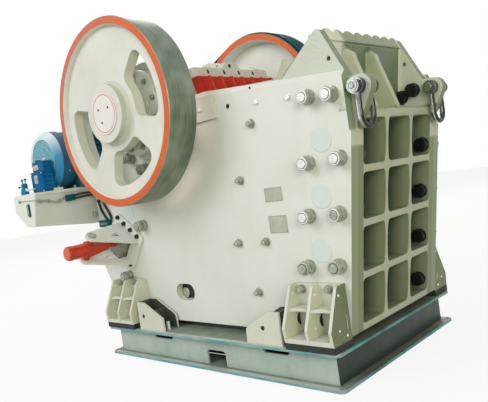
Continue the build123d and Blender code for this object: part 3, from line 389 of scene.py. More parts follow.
def beamFinish(name, facts, base):
    material, shader, place = coat(name, base)
    spot, facing, nearY = placeNodes(place)
    top = facts["height"]
    upright = between(facing, 2, -0.5, 0.5, 0.1)
    low = between(spot, 2, -1.0, facts["flange"], 0.002)
    high = between(spot, 2, top - facts["flange"], 1.0, 0.002)
    edges = calc("MAXIMUM", [(0, low, 0), (1, high, 0)])
    thick = noise(place, "Object", facts["thickScale"], 3.0)
    thick = ramp(thick, 0, 0.3, 0.65, start=0.25)
    paint(shader, both(both(edges, upright), thick), facts["edgeColour"])
    dustAndShadow = ramp(thick, 0, start=0.45, stop=0.95)
    # Painted shadow: upward faces inside the outer edge are darkened, mottled like dust
    deckDustAndShadow = both(between(facing, 2, 0.7, 2.0, 0.1), dustAndShadow)
    paint(shader, deckDustAndShadow, facts["dustAndShadow"])
    outer = both(deckDustAndShadow, between(nearY, 0, facts["paleFrom"], 2.0, 0.01))
    paint(shader, outer, facts["paleDust"])
    return material


# The end beams stand in the shade of the casting, and their coat is painted dark as painted shade
shadedBeamFacts = dict(beamFacts["base"], colour="#2c3b30", shade="#243127", dirtAndShade="#181f1a")

# Motor: cast and sheet steel in teal-blue stoving enamel, paler on the thin fan cowl, which also carries a
# painted highlight towards its top
motorFacts = {"colour": "#17708c", "shade": "#125f7c", "dirtAndShade": "#0b2c42", "patch": 180, "grain": 8,
              "roughness": 0.5, "stain": 0.3, "cornerShade": 0.7, "edge": 3, "relief": 0.1, "shine": 0.12,
              "cornerReach": 60}
cowlFacts = {"base": dict(motorFacts, colour="#2e8fbb", shade="#2385b2", dirtAndShade="#1a6799", cornerShade=0.3,
                          shine=0.5), "axis": (-2.596, 0, 2.115), "highlightColour": "#e4f3f6", "highlightLean": -0.35,
             "highlightRise": (2.95, 3.25), "grilleRadius": 0.262, "hole": "#1b7390", "mesh": "#7abdc8",
             "holePitch": 0.017, "bellEnd": -0.635, "body": "#135a7c"}


def cowlFinish(facts):
    material, shader, place = coat("fanCowlEnamelAndHighlight", facts["base"])
    spot, facing = placeNodes(place)[:2]
    radius = fromAxis(place, facts["axis"])
    # Painted highlight: the cowl turns near-white towards its top and rear
    high = calc("MULTIPLY_ADD", [(0, spot, 0), (2, spot, 2)], {1: facts["highlightLean"]})
    low, top = facts["highlightRise"]
    pale = ramp(high, 0, low, top, stop=0.95)
    paint(shader, pale, facts["highlightColour"])
    paint(shader, between(spot, 1, facts["bellEnd"], 0.0, 0.004), facts["body"])
    flat = between(facing, 1, -2.0, -0.8, 0.05)
    face = both(between(radius, 1, -1.0, facts["grilleRadius"]), flat)
    paint(shader, face, facts["mesh"])
    dots = addNode(place.id_data, "ShaderNodeTexVoronoi",
                   {"Scale": 1 / facts["holePitch"], "Randomness": 0.35}, [("Vector", place, "Object")])
    holes = ramp(dots, "Distance", 0.42, 0.3)
    paint(shader, both(holes, face), facts["hole"])
    return material


motorEnamel = coat("motorEnamel", motorFacts)[0]
fanCowlEnamelAndHighlight = cowlFinish(cowlFacts)

# Vulcanised rubber: dull black with a grey bloom
rubberFacts = {"colour": "#1b1f1d", "shade": "#262b28", "dirtAndShade": "#3a413c", "patch": 90, "grain": 5,
               "roughness": 0.72, "stain": 0.3, "cornerShade": 0.0, "edge": 3, "relief": 0.15}
blackRubber = coat("blackRubber", rubberFacts)[0]

# Ground steel with a little oil: bright, with fine lines
groundFacts = {"colour": "#a2a79f", "shade": "#878d83", "dirtAndShade": "#4d5147", "patch": 120, "grain": 4,
               "roughness": 0.34, "metallic": 0.85, "stain": 0.4, "cornerShade": 0.6, "edge": 3, "relief": 0.08}
groundSteel = coat("groundSteel", groundFacts)[0]

# Phosphated bolts: grey-green steel, half dull. Faced ones are turned bright, and their near-white is
# partly painted glare. Black ones keep their oil, and as dark plugs and plates they also stand for the
# shade in holes and slots
boltFacts = {"colour": "#b4b9aa", "shade": "#989e8f", "dirtAndShade": "#474d40", "patch": 40, "grain": 4,
             "roughness": 0.34, "metallic": 0.5, "stain": 0.2, "cornerShade": 0.6, "edge": 1, "relief": 0.1,
             "cornerReach": 40}
phosphatedSteel = coat("phosphatedSteel", boltFacts)[0]
facedSteelAndGlare = coat("facedSteelAndGlare", dict(boltFacts, colour="#edefec", shade="#dfe2dc", metallic=0.3,
                                     dirtAndShade="#8d9287", cornerShade=0.4))[0]
blackenedSteelAndShade = coat("blackenedSteelAndShade",
                      dict(boltFacts, colour="#2a322b", shade="#1f2621", dirtAndShade="#10130f", metallic=0.5))[0]

# Liners inside the base: dark plates that stand for the shade inside it
linerShadeSteel = coat("linerShadeSteel", dict(shadedBeamFacts, colour="#27342b", shade="#1f2a22"))[0]

# Hot-dip galvanised shackles: cool bright zinc, with painted shade on the faces that look to the front
shackleFacts = {"colour": "#e3e6e3", "shade": "#bcc2bd", "dirtAndShade": "#20251f", "patch": 30, "grain": 4,
                "roughness": 0.2, "metallic": 1.0, "stain": 0.5, "runs": (16, 90), "cornerShade": 0.9, "edge": 2,
                "relief": 0.08, "cornerReach": 40, "sideShade": "#343b33"}


def shackleFinish(facts):
    material, shader, place = coat("galvanisedSteel", facts)
    facing = placeNodes(place)[1]
    # Painted shade: faces that look to the front are darkened
    paint(shader, between(facing, 0, 0.25, 2.0, 0.2), facts["sideShade"])
    return material


galvanisedSteel = shackleFinish(shackleFacts)

# Wedge cylinders: orange-red stoving enamel, lighter on the end cap
cylinderFacts = {"base": {"colour": "#cf3a16", "shade": "#bd3214", "dirtAndShade": "#7c2412", "patch": 120,
                          "grain": 6, "roughness": 0.38, "stain": 0.3, "runs": (40, 400), "cornerShade": 0.5,
                          "edge": 5, "relief": 0.1, "clear": 0.1}, "cap": "#dc5418", "capFrom": 1.344}


def cylinderFinish(facts):
    material, shader, place = coat("cylinderEnamel", facts["base"])
    nearY = placeNodes(place)[2]
    paint(shader, between(nearY, 0, facts["capFrom"], 2.0, 0.001), facts["cap"])
    return material


# Hub cap: cream disc with a thin red line turned round it
hubFacts = {"base": dict(creamFacts, colour="#ece8e4", shade="#e6e0dc"), "line": (0.160, 0.1665),
            "lineColour": "#cf4630"}


def hubFinish(facts):
    material, shader, place = coat("hubCapEnamel", facts["base"])
    radius = fromAxis(place, wheelFacts["shaft"])
    paint(shader, between(radius, 1, *facts["line"]), facts["lineColour"])
    return material


# Plain signs and plates: stamped aluminium, left bare
plateFacts = {"colour": "#bfc1b2", "shade": "#aeb0a0", "dirtAndShade": "#77796a", "patch": 60, "grain": 4,
              "roughness": 0.4, "metallic": 0.3, "stain": 0.2, "cornerShade": 0.5, "edge": 1, "relief": 0.05}
stampedAluminium = coat("stampedAluminium", plateFacts)[0]

# Variants: pale covers, teal drive belts, and the blues and teal of the small motor and hydraulic parts
paleDisc = coat("paleDiscPaint", dict(creamFacts, colour="#d7e0dd", shade="#cfdad8", stain=0.05))[0]
beltRubber = coat("beltRubber", dict(rubberFacts, colour="#22272a", shade="#2b3133"))[0]
tealRubber = coat("tealRubber", dict(rubberFacts, colour="#084a4a", shade="#064242", shine=0.2))[0]
brightBlue = coat("brightBlueEnamel",
                  dict(motorFacts, colour="#1c86ba", shade="#1478ac", dirtAndShade="#10568a"))[0]
grilleSteel = coat("grilleZinc", dict(motorFacts, colour="#b5d2da", shade="#9cc3cf", dirtAndShade="#4f93ab",
                                      metallic=0.3))[0]
tealSteel = coat("tealEnamel", dict(motorFacts, colour="#0f5f6b", shade="#0c4b57", dirtAndShade="#08282e"))[0]
# Cheek plates: the rough-cast cream made darker and greyer, as painted shade
cheekShadedEnamel = coat("cheekPlateShadedEnamel", dict(roughCastFacts, colour="#b9bca2", shade="#abaf95"))[0]
# Motor base: a paler copy of the cream, as painted light
motorBaseLitEnamel = coat("motorBaseLitEnamel", dict(creamFacts, colour="#ecefe6", shade="#e6e9df"))[0]
hydraulicEnamel = coat("hydraulicEnamel", dict(motorFacts, colour="#0666a6", shade="#065890"))[0]
shadedPrimer = beamFinish("shadedPrimer", beamFacts, shadedBeamFacts)

finishes = {"cream_paint": creamEnamel, "orange_paint": cylinderFinish(cylinderFacts),
            "red_paint": dieFinish("redShopPaint", dieFacts, False), "machined_steel": groundSteel,
            "base_paint": beamFinish("greyBluePrimer", beamFacts, beamFacts["base"]),
            "black_rubber": blackRubber, "motor_paint": motorEnamel, "shackle_steel": galvanisedSteel,
            "dark_steel": blackenedSteelAndShade}
ownFinishes = {"front_end_casting": frontCastingFinish(frontFacts), "rear_end_casting": roughCastEnamel,
               "pitman": roughCastEnamel, "jaw_clamp_bar": roughCastEnamel,
               "flywheel_near": wheelFinish("nearWheelFinish", wheelFacts, treadFacts["near"]),
               "flywheel_far": wheelFinish("farWheelFinish", wheelFacts, treadFacts["far"]),
               "moving_jaw_die": dieFinish("wornDiePaint", dieFacts, True),
               "base_beam_front": shadedPrimer, "base_beam_rear": shadedPrimer,
               "fixed_jaw_die": fixedDieFinish(dieFacts),
               "motor_base": motorBaseLitEnamel, "motor_fan_cowl": fanCowlEnamelAndHighlight,
               "hydraulic_unit": hydraulicEnamel, "hub_caps": hubFinish(hubFacts)}
for side in ("near", "far"):
    ownFinishes["side_plate_" + side] = plateEnamelWithShade
    ownFinishes["cheek_plate_" + side] = cheekShadedEnamel
    for end in ("front", "rear"):
        ownFinishes[f"foot_{end}_{side}"] = footEnamelWithShade
        ownFinishes[f"stop_{end}_{side}"] = stopEnamel
for part in frame["record"]["subparts"]:
    piece = nodes[part["node"]]
    piece.data.materials.clear()
    piece.data.materials.append(ownFinishes.get(part["node"], finishes[part["material_slot"]]))
print("finishes set")


# Turns a profile round an axis; each step is (distance out, radius) or, for a hexagon, (distance, half its
# width over flats, slope of its chamfer), and radius 0 closes it at a point
def turned(mesh, place, axis, profile, sides=24, spin=0.0):
    out = Vector(axis).normalized()
    across = (out.orthogonal() if abs(out.z) > 0.9 else out.cross(Vector((0, 0, 1)))).normalized()
    other = out.cross(across)
    rings = []
    for step in profile:
        ring = []
        for i in range(sides if step[1] > 0 else 1):
            angle = 2 * pi * i / sides
            distance, radius = step[0], step[1]
            if len(step) == 3:
                radius = step[1] / cos((angle % (pi / 3)) - pi / 6)
                distance += step[2] * (radius - step[1])
            side = cos(angle + spin) * across + sin(angle + spin) * other
            ring.append(mesh.verts.new((Vector(place) + out * distance + side * radius) * mm))
        rings.append(ring)
    for low, high in zip(rings, rings[1:]):
        for i in range(sides):
            j = (i + 1) % sides
            corners = [low[i % len(low)], low[j % len(low)], high[j % len(high)], high[i % len(high)]]
            mesh.faces.new(list(dict.fromkeys(corners)))
    for ring in (rings[0], rings[-1]):
        if len(ring) > 2:
            mesh.faces.new(ring)


# Turns a profile outward on one side of the machine
def onSide(mesh, way, place, profile, sides=24, spin=0.0):
    x, y, z = place
    turned(mesh, (x, way * y, z), (0, way, 0), profile, sides, spin)


# A block with softened edges, turned by its own axes about its centre
def block(mesh, centre, size, edge=3.0, axes=None):
    made = bmesh.ops.create_cube(mesh, size=1.0)["verts"]
    turn = Matrix(axes).transposed().to_4x4() if axes else Matrix.Identity(4)
    place = Matrix.Translation(Vector(centre) * mm) @ turn @ Matrix.Diagonal((*[s * mm for s in size], 1))
    bmesh.ops.transform(mesh, matrix=place, verts=made)
    edges = list(dict.fromkeys(e for v in made for e in v.link_edges))
    bmesh.ops.bevel(mesh, geom=edges, offset=edge * mm, segments=2, profile=0.5, affect="EDGES")


# A plate with any outline: the points lie in the plane of two directions from a corner, and its edge is
# softened
def cutPlate(mesh, points, origin, right, up, thick, edge=1.5):
    right, up = Vector(right).normalized(), Vector(up).normalized()
    out = right.cross(up)
    corners = [mesh.verts.new((Vector(origin) + right * x + up * y) * mm) for x, y in points]
    face = mesh.faces.new(corners)
    grown = bmesh.ops.extrude_face_region(mesh, geom=[face])["geom"]
    moved = [g for g in grown if isinstance(g, bmesh.types.BMVert)]
    bmesh.ops.translate(mesh, verts=moved, vec=out * thick * mm)
    top = [g for g in grown if isinstance(g, bmesh.types.BMFace)][0]
    if edge:
        bmesh.ops.bevel(mesh, geom=list(top.edges), offset=edge * mm, segments=2, profile=0.5,
                        affect="EDGES")


# A round bar or pipe swept through points, with its corners rounded by a spline and its ends closed
def pipe(mesh, points, radius, sides=10, steps=6):
    points = [Vector(p) for p in points]
    ends = [points[0] * 2 - points[1], *points, points[-1] * 2 - points[-2]]
    line = []
    for a, b, c, d in zip(ends, ends[1:], ends[2:], ends[3:]):
        for i in range(steps):
            t = i / steps
            line.append(0.5 * (2 * b + (c - a) * t + (2 * a - 5 * b + 4 * c - d) * t * t
                               + (3 * b - a - 3 * c + d) * t ** 3))
    line.append(points[-1])
    across = (line[1] - line[0]).orthogonal().normalized()
    rings = []
    for i, point in enumerate(line):
        ahead = (line[min(i + 1, len(line) - 1)] - line[max(i - 1, 0)]).normalized()
        across = (across - ahead * across.dot(ahead)).normalized()
        other = ahead.cross(across)
        rings.append([mesh.verts.new((point + radius * (cos(a) * across + sin(a) * other)) * mm)
                      for a in (2 * pi * k / sides for k in range(sides))])
    for low, high in zip(rings, rings[1:]):
        for k in range(sides):
            mesh.faces.new((low[k], low[(k + 1) % sides], high[(k + 1) % sides], high[k]))
    mesh.faces.new(rings[0])
    mesh.faces.new(rings[-1])


# Makes the mesh an object: smooth faces with its sharp edges kept, a finish and a body to ride on
def keepPiece(name, mesh, material, body="root", sharp=24):
    bmesh.ops.recalc_face_normals(mesh, faces=mesh.faces)
    data = bpy.data.meshes.new(name)
    mesh.to_mesh(data)
    mesh.free()
    data.shade_smooth()
    data.set_sharp_from_angle(angle=radians(sharp))
    data.materials.append(material)
    piece = bpy.data.objects.new(name, data)
    bpy.context.scene.collection.objects.link(piece)
    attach(piece, body)
    return piece


# Steps of a hexagon nut or head between two distances, with chamfered corners on the outer face
def hexSteps(low, high, flats):
    half = flats / 2
    return [(low, half * 0.96), (low, half, 0.4), (high, half, -0.5), (high, half * 0.96)]


sides = {"near": -1, "far": 1}

# Through bolts of the frame: on each a washer, a nut on the plate, a gap of thread, a lock nut and the
# bolt's end. The upper nuts are faced bright, their near-white faces partly painted glare, and in one the
# end has a socket
frameBolts = {"places": [(1322, 2078), (1520, 2060), (1240, 1617), (1516, 1618), (1178, 1231), (1447, 1232),
                         (1110, 852), (1384, 857), (-848, 1265), (-1216, 760), (-872, 1932), (-664, 1801)],
              "bright": 6, "sockets": (5,), "plate": 686.5, "flats": 98, "washer": 56, "thread": 33,
              "reach": 104}


def makeFrameBolts(facts):
    flats, stud, reach = facts["flats"], facts["thread"], facts["reach"]
    for side, way in sides.items():
        dark, bright = bmesh.new(), bmesh.new()
        for number, (x, z) in enumerate(facts["places"]):
            place, axis, spin = (x, way * facts["plate"], z), (0, way, 0), 0.4 + number * 1.7
            turned(dark, place, axis, [(-2, facts["washer"]), (5, facts["washer"]),
                                       (7, facts["washer"] - 3), *hexSteps(7, 50, flats), (50, stud),
                                       (54, stud)], 24, spin)
            turned(dark, place, axis, [(53, stud), *hexSteps(54, 94, flats - 3)], 24, spin + 0.5)
            face = bright if number < facts["bright"] else dark
            ring = (flats - 3) / 2 * 0.97
            turned(face, place, axis, [(93.5, ring), (95, ring), (97, ring - 3), (97, stud + 6),
                                       (94, stud + 3)], 36)
            if number in facts["sockets"]:
                end = [(93, stud + 2), (reach - 2, stud - 1), (reach, stud - 4), (reach, 21),
                       (reach - 9, 17), (reach - 9, 0)]
                turned(dark, place, axis, end, 36)
            else:
                end = [(93, stud), (reach - 3, stud), (reach, stud - 4), (reach, 6), (reach - 4, 4),
                       (reach - 4, 0)]
                turned(face, place, axis, end, 36)
        keepPiece("frame_bolts_" + side, dark, phosphatedSteel)
        keepPiece("frame_bolt_faces_" + side, bright, facedSteelAndGlare)


# Heads of the front through bolts, which stand in the end pockets on the legs' inner faces
boltHeads = {"places": [(1522, 2092), (1410, 2050), (1535, 1630), (1462, 1245), (1398, 857), (1335, 478)],
             "face": 527, "flats": 104, "thick": 44}


def makeBoltHeads(facts):
    mesh = bmesh.new()
    for way in sides.values():
        for number, (x, z) in enumerate(facts["places"]):
            turned(mesh, (x, way * facts["face"], z), (0, -way, 0),
                   [(-2, 60), (7, 60), *hexSteps(7, 7 + facts["thick"], facts["flats"]),
                    (7 + facts["thick"], 12), (4 + facts["thick"], 10), (4 + facts["thick"], 0)], 24,
                   number)
    keepPiece("front_bolt_heads", mesh, blackenedSteelAndShade)


# Smaller fixings on the side plates: hexagon screws with studs, bright round caps and black socket plugs
plateScrews = {"hexes": [(742, 1990), (414, 1050), (716, 1052), (556, 641), (534, 1562)],
               "caps": [(1135, 2117, 686.5), (826, 2144, 686.5), (213, 2199, 714.5)],
               "plugs": [(517, 2171, 19), (778, 2264, 9)], "plate": 686.5}


def makePlateScrews(facts):
    for side, way in sides.items():
        hexes, caps, plugs = bmesh.new(), bmesh.new(), bmesh.new()
        for number, (x, z) in enumerate(facts["hexes"]):
            onSide(hexes, way, (x, facts["plate"], z),
                   [(-2, 38), (6, 38), (7, 36), *hexSteps(7, 34, 52), (34, 18), (56, 18), (59, 15), (59, 5),
                    (56, 4), (56, 0)], 24, number)
        for x, z, out in facts["caps"]:
            onSide(caps, way, (x, out, z),
                   [(-2, 24), (4, 24), (5, 21), (19, 21), (23, 17), (23, 6), (21, 5), (21, 0)], 28)
        for x, z, radius in facts["plugs"]:
            onSide(plugs, way, (x, facts["plate"], z),
                   [(-2, radius), (1.5, radius), (2.5, radius * 0.85), (1, radius * 0.6),
                    (0.6, radius * 0.5), (0.6, 0)], 24)
        keepPiece("plate_screws_" + side, hexes, phosphatedSteel)
        keepPiece("plate_caps_" + side, caps, facedSteelAndGlare)
        keepPiece("plate_plugs_" + side, plugs, blackenedSteelAndShade)


# Pale round covers let into the side plates
plateDiscs = {"places": [(1372, 1766), (1304, 1366), (1237, 969), (-1073, 1404), (-1419, 864)],
              "radius": 90, "thick": 3, "plate": 686.5}


def makePlateDiscs(facts):
    mesh = bmesh.new()
    radius, thick = facts["radius"], facts["thick"]
    for way in sides.values():
        for x, z in facts["places"]:
            onSide(mesh, way, (x, facts["plate"], z),
                   [(-2, radius), (thick - 1, radius), (thick, radius - 2), (thick, radius - 60),
                    (thick, 0)], 48)
    keepPiece("plate_discs", mesh, paleDisc)


# Bare signs: a rating plate and a wide panel, each with a raised rim and rivets, and a three-cornered one
barePlates = {"rating": {"x": (770, 945), "z": (1364, 1473)}, "panel": {"x": (772, 952), "z": (1116, 1253)},
              "plate": 686.5, "thick": 2.0, "rim": 7, "corner": [(1549, 1931), (1614, 1931), (1581, 1985)]}


def makeBarePlates(facts):
    for name in ("rating", "panel"):
        (x0, x1), (z0, z1) = facts[name]["x"], facts[name]["z"]
        for side, way in sides.items():
            mesh, rim = bmesh.new(), bmesh.new()
            start = (x0, way * facts["plate"], z0) if way < 0 else (x1, way * facts["plate"], z0)
            right = (-way, 0, 0)
            width, height, edge = x1 - x0, z1 - z0, facts["rim"]
            cutPlate(mesh, [(0, 0), (width, 0), (width, height), (0, height)], start, right, (0, 0, 1),
                     facts["thick"], 0.8)
            tall = (edge, height - 2 * edge)
            for low, size in (((0, 0), (width, edge)), ((0, height - edge), (width, edge)),
                              ((0, edge), tall), ((width - edge, edge), tall)):
                corner = Vector(start) + Vector(right) * low[0] + Vector((0, way * facts["thick"], low[1]))
                cutPlate(rim, [(0, 0), (size[0], 0), size, (0, size[1])], corner, right, (0, 0, 1), 1.2,
                         0.4)
            for dx in (edge * 1.9, width - edge * 1.9):
                for dz in (edge * 1.9, height - edge * 1.9):
                    corner = Vector(start) + Vector(right) * dx + Vector((0, way * facts["thick"], dz))
                    turned(rim, corner, (0, way, 0), [(-1, 4), (1.5, 4), (3, 2), (3.4, 0)], 12)
            keepPiece(f"{name}_plate_{side}", mesh, stampedAluminium)
            keepPiece(f"{name}_plate_rim_{side}", rim, phosphatedSteel)
    mesh = bmesh.new()
    for way in sides.values():
        points = [(x * -way, z) for x, z in facts["corner"]]
        cutPlate(mesh, points if way < 0 else points[::-1], (0, way * facts["plate"], 0), (-way, 0, 0),
                 (0, 0, 1), 2.5, 0.8)
    keepPiece("three_cornered_plates", mesh, stampedAluminium)


# Fixings in the feet: hexagon bolts in the upper bays, round heads low down, and bright pins in the ribs
footFixings = {"wall": 720.5, "upper": [(1031, 691), (1279, 694), (-1340, 701), (-1111, 710)],
               "lower": [(905, 390), (965, 352), (1160, 352)],
               "pins": [(1187, 779, 663), (1187, 827, 428), (1395, 787, 666), (1395, 831, 423),
                        (1395, 744, 368), (979, 777, 668), (-1375, 786, 673), (-1375, 834, 425),
                        (-1167, 786, 658), (-1167, 830, 435), (-959, 782, 672)]}


def makeFootFixings(facts):
    bolts, dark, pins = bmesh.new(), bmesh.new(), bmesh.new()
    for way in sides.values():
        for number, (x, z) in enumerate(facts["upper"]):
            onSide(bolts, way, (x, facts["wall"], z),
                   [(-2, 36), (6, 36), (7, 34), *hexSteps(7, 38, 50), (38, 20), (48, 18), (48, 0)], 24,
                   number * 0.9)
        for x, z in facts["lower"]:
            onSide(dark, way, (x, facts["wall"], z),
                   [(-2, 24), (3, 24), (6, 19), (10, 14), (11, 6), (9, 4), (9, 0)], 24)
        for x, y, z in facts["pins"]:
            turned(pins, (x, way * y, z), (1, 0, 0), [(-3, 10), (2, 10), (6, 7), (8, 3), (8.5, 0)], 16)
    keepPiece("foot_bolts", bolts, phosphatedSteel)
    keepPiece("foot_low_screws", dark, phosphatedSteel)
    keepPiece("foot_pins", pins, facedSteelAndGlare)


# Stops: the jack screw's nut and end on each cross plate, a locating pin, and a black plug in the outer
# plate
stops = {"rear": {"start": -898.4, "way": 1}, "front": {"start": 892.4, "way": -1}, "y": 793.5, "z": 418,
         "plate": 24, "plugs": [(-818, 411), (716, 411)], "plugFace": 883.5, "pin": 322, "deck": 278}


def makeStopFittings(facts):
    screws, pins, plugs = bmesh.new(), bmesh.new(), bmesh.new()
    for way in sides.values():
        for name in ("rear", "front"):
            start, ahead = facts[name]["start"], facts[name]["way"]
            y = way * facts["y"]
            face = facts["plate"] + 34
            turned(screws, (start, y, facts["z"]), (ahead, 0, 0),
                   [(face - 2, 46), (face + 6, 46), *hexSteps(face + 6, face + 34, 62), (face + 34, 22),
                    (face + 92, 22), (face + 95, 19), (face + 95, 0)], 24)
            turned(pins, (start + ahead * facts["pin"], y, facts["deck"]), (0, 0, 1),
                   [(-1, 24), (6, 24), (7, 17), (70, 17), (74, 13), (74, 0)], 24)
        for x, z in facts["plugs"]:
            onSide(plugs, way, (x, facts["plugFace"], z),
                   [(-1, 19), (1.2, 19), (2, 16), (0.8, 13), (0.5, 12), (0.5, 0)], 24)
    keepPiece("stop_screws", screws, phosphatedSteel)
    keepPiece("stop_pins", pins, facedSteelAndGlare)
    keepPiece("stop_plugs", plugs, blackenedSteelAndShade)


# Bearing housings: a ring of cover screws, and a thin turned step on the cover and on the cap
housing = {"x": -510, "z": 2313, "cover": 866.5, "cap": 878.5, "screws": 12, "pitch": 335, "first": 14.0,
           "flats": 40, "step": (246, 254)}


def makeHousingScrews(facts):
    for side, way in sides.items():
        mesh, rings = bmesh.new(), bmesh.new()
        x, z = facts["x"], facts["z"]
        for number in range(facts["screws"]):
            angle = radians(facts["first"] + number * 360 / facts["screws"])
            place = (x + facts["pitch"] * cos(angle), way * facts["cover"], z + facts["pitch"] * sin(angle))
            turned(mesh, place, (0, way, 0),
                   [(-2, 25), (3, 25), *hexSteps(3, 22, facts["flats"]), (22, 9), (21, 8), (21, 0)], 24,
                   angle)
        inner, outer = facts["step"]
        onSide(rings, way, (x, facts["cover"], z),
               [(-1, outer), (3, outer), (4.5, outer - 2), (4.5, inner + 2), (3, inner), (-1, inner)], 72)
        onSide(rings, way, (x, facts["cap"], z),
               [(-1, 222), (1.5, 222), (2.5, 219), (2.5, 196), (1.5, 194), (-1, 194)], 72)
        keepPiece("housing_screws_" + side, mesh, phosphatedSteel)
        keepPiece("housing_steps_" + side, rings, creamEnamel)


# On the hubs: a turned ring round the cap, and three small screws in the cap
hubFittings = {"x": -510, "z": 2313, "face": 1164, "cap": 1172, "ring": (186, 196), "screwPitch": 85,
               "screwAngles": (150, 30, 240)}


def makeHubFittings(facts):
    rings, screws = bmesh.new(), bmesh.new()
    x, z = facts["x"], facts["z"]
    for way in sides.values():
        inner, outer = facts["ring"]
        onSide(rings, way, (x, facts["face"], z),
               [(-1, outer), (1.5, outer), (2.5, outer - 2), (2.5, inner + 2), (1.5, inner), (-1, inner)],
               72)
        for angle in facts["screwAngles"]:
            turn = radians(angle)
            place = (x + facts["screwPitch"] * cos(turn), way * facts["cap"],
                     z + facts["screwPitch"] * sin(turn))
            turned(screws, place, (0, way, 0), [(-1, 10), (2.5, 10), (4, 8), (4, 5), (1, 4.5), (1, 0)], 18)
    keepPiece("hub_rings", rings, ownFinishes["hub_caps"], body="rotor")
    keepPiece("hub_screws", screws, blackenedSteelAndShade, body="rotor")


# Wedge brackets: socket screws in the flange, end rings on the trunnion pins, and two rings round each
# cylinder
bracket = {"centre": (-1228, 1115), "angle": 143.0, "face": 710.5,
           "screws": [(160, 198), (46, 198), (-69, 200), (-186, 200), (-205, -140), (160, -140)],
           "pinY": 1106, "pinTop": 175, "pinLow": -152, "rings": (1308, 1176)}


def bracketPoint(facts, along, up, out, way):
    turn = radians(facts["angle"])
    (x, z) = facts["centre"]
    return Vector((x + along * cos(turn) + up * sin(turn), way * out,
                   z + along * sin(turn) - up * cos(turn)))


def makeBracketFittings(facts):
    turn = radians(facts["angle"])
    upward = Vector((sin(turn), 0, -cos(turn)))
    screws, pins, caps = bmesh.new(), bmesh.new(), bmesh.new()
    for way in sides.values():
        for along, up in facts["screws"]:
            place = bracketPoint(facts, along, up, facts["face"], way)
            turned(screws, place, (0, way, 0),
                   [(-2, 24), (4, 24), (5, 20), (22, 20), (24, 18), (24, 11), (12, 10), (12, 0)], 24)
        for up, ahead in ((facts["pinTop"], upward), (facts["pinLow"], -upward)):
            place = bracketPoint(facts, 0, up, facts["pinY"], way)
            turned(pins, place, ahead, [(-9, 40), (-2, 40), (0, 37), (0, 30), (4, 26), (4, 12), (1, 10),
                                        (1, 0)], 32)
        for out in facts["rings"]:
            place = bracketPoint(facts, 0, 0, out, way)
            turned(caps, place, (0, way, 0), [(-7, 67), (-6, 70), (-4, 71.5), (4, 71.5), (6, 70), (7, 67)],
                   48)
    keepPiece("bracket_screws", screws, blackenedSteelAndShade)
    keepPiece("trunnion_ends", pins, phosphatedSteel)
    keepPiece("cylinder_rings", caps, finishes["orange_paint"])


# Clamp bar: four slanted slots drawn as thin dark plates that stand for the shade in them, with their
# bolts, and dark discs of the same kind for an eye in the hump and one in the lug behind
clampBar = {"slots": [-315, -104, 100, 303], "height": 2590, "front": -21, "eye": (-18, 2653), "half": 15,
            "lean": 0.35, "lug": (-172, -12, 2684), "lugWay": (0.55, 0, 0.835)}


def makeClampFittings(facts):
    dark, heads = bmesh.new(), bmesh.new()
    half, lean = facts["half"], facts["lean"]
    for y in facts["slots"]:
        points = []
        for end, start in ((9, 0), (-7, 180)):
            for step in range(7):
                angle = radians(start + step * 30)
                px, pz = half * cos(angle) * 0.8, half * sin(angle) * 0.8 + end
                points.append((px + pz * -lean, pz))
        cutPlate(dark, points, (facts["front"] - 1, y, facts["height"]), (0, 1, 0), (0, 0, 1), 2.2, 0.6)
        turned(heads, (facts["front"], y + 3, facts["height"] - 4), (1, 0, 0),
               [(-1, 10), (4, 10), (6, 8), (6, 5), (3, 4.5), (3, 0)], 24)
    y, z = facts["eye"]
    turned(dark, (facts["front"], y, z), (1, 0, 0), [(-1, 19), (1.5, 19), (2, 16), (0.5, 14), (0.5, 0)], 28)
    turned(dark, facts["lug"], facts["lugWay"], [(-8, 26), (3, 26), (4, 23), (1, 19), (1, 0)], 28)
    keepPiece("clamp_slot_shades", dark, blackenedSteelAndShade, body="swing_jaw")
    keepPiece("clamp_bolts", heads, blackenedSteelAndShade, body="swing_jaw")


# Shackles: a turned ring and three crossed ribs on the pin's head, and a nut and a split pin at its end
shackle = {"x": 1694, "z": 2080, "middle": 563.5, "head": 34, "jaw": 62, "eye": 46}


def makeShackleFittings(facts):
    reach = facts["jaw"] + facts["eye"]
    for side, way in sides.items():
        mesh = bmesh.new()
        outer = way * (facts["middle"] + reach + facts["head"])
        inner = way * (facts["middle"] - reach - 30)
        place = (facts["x"], outer, facts["z"])
        turned(mesh, place, (0, way, 0),
               [(-1, 40), (2, 40), (4, 36), (4, 27), (1, 25), (1, 17), (6, 16), (8, 13), (8, 0)], 36)
        turned(mesh, (facts["x"], inner, facts["z"]), (0, way, 0),
               [*hexSteps(2, 26, 62), (26, 33), (30, 33)], 24)
        for angle in (0, 60, 120):
            turn = radians(angle)
            across = Vector((cos(turn), 0, sin(turn)))
            pipe(mesh, [Vector(place) - across * 21 + Vector((0, way * 3, 0)),
                        Vector(place) + across * 21 + Vector((0, way * 3, 0))], 3.4, 8, 2)
        pipe(mesh, [(facts["x"], inner + way * 6, facts["z"] + 46),
                    (facts["x"], inner + way * 6, facts["z"] - 50)], 4, 8, 2)
        keepPiece("shackle_fittings_" + side, mesh, galvanisedSteel,
                  body="shackle_" + side)


# A closed prism from points in the X-Z plane, between two Y values
def prism(mesh, points, y0, y1):
    low = [mesh.verts.new((x * mm, y0 * mm, z * mm)) for x, z in points]
    high = [mesh.verts.new((x * mm, y1 * mm, z * mm)) for x, z in points]
    mesh.faces.new(low)
    mesh.faces.new(high)
    for i in range(len(points)):
        j = (i + 1) % len(points)
        mesh.faces.new((low[i], low[j], high[j], high[i]))
    bmesh.ops.recalc_face_normals(mesh, faces=mesh.faces)


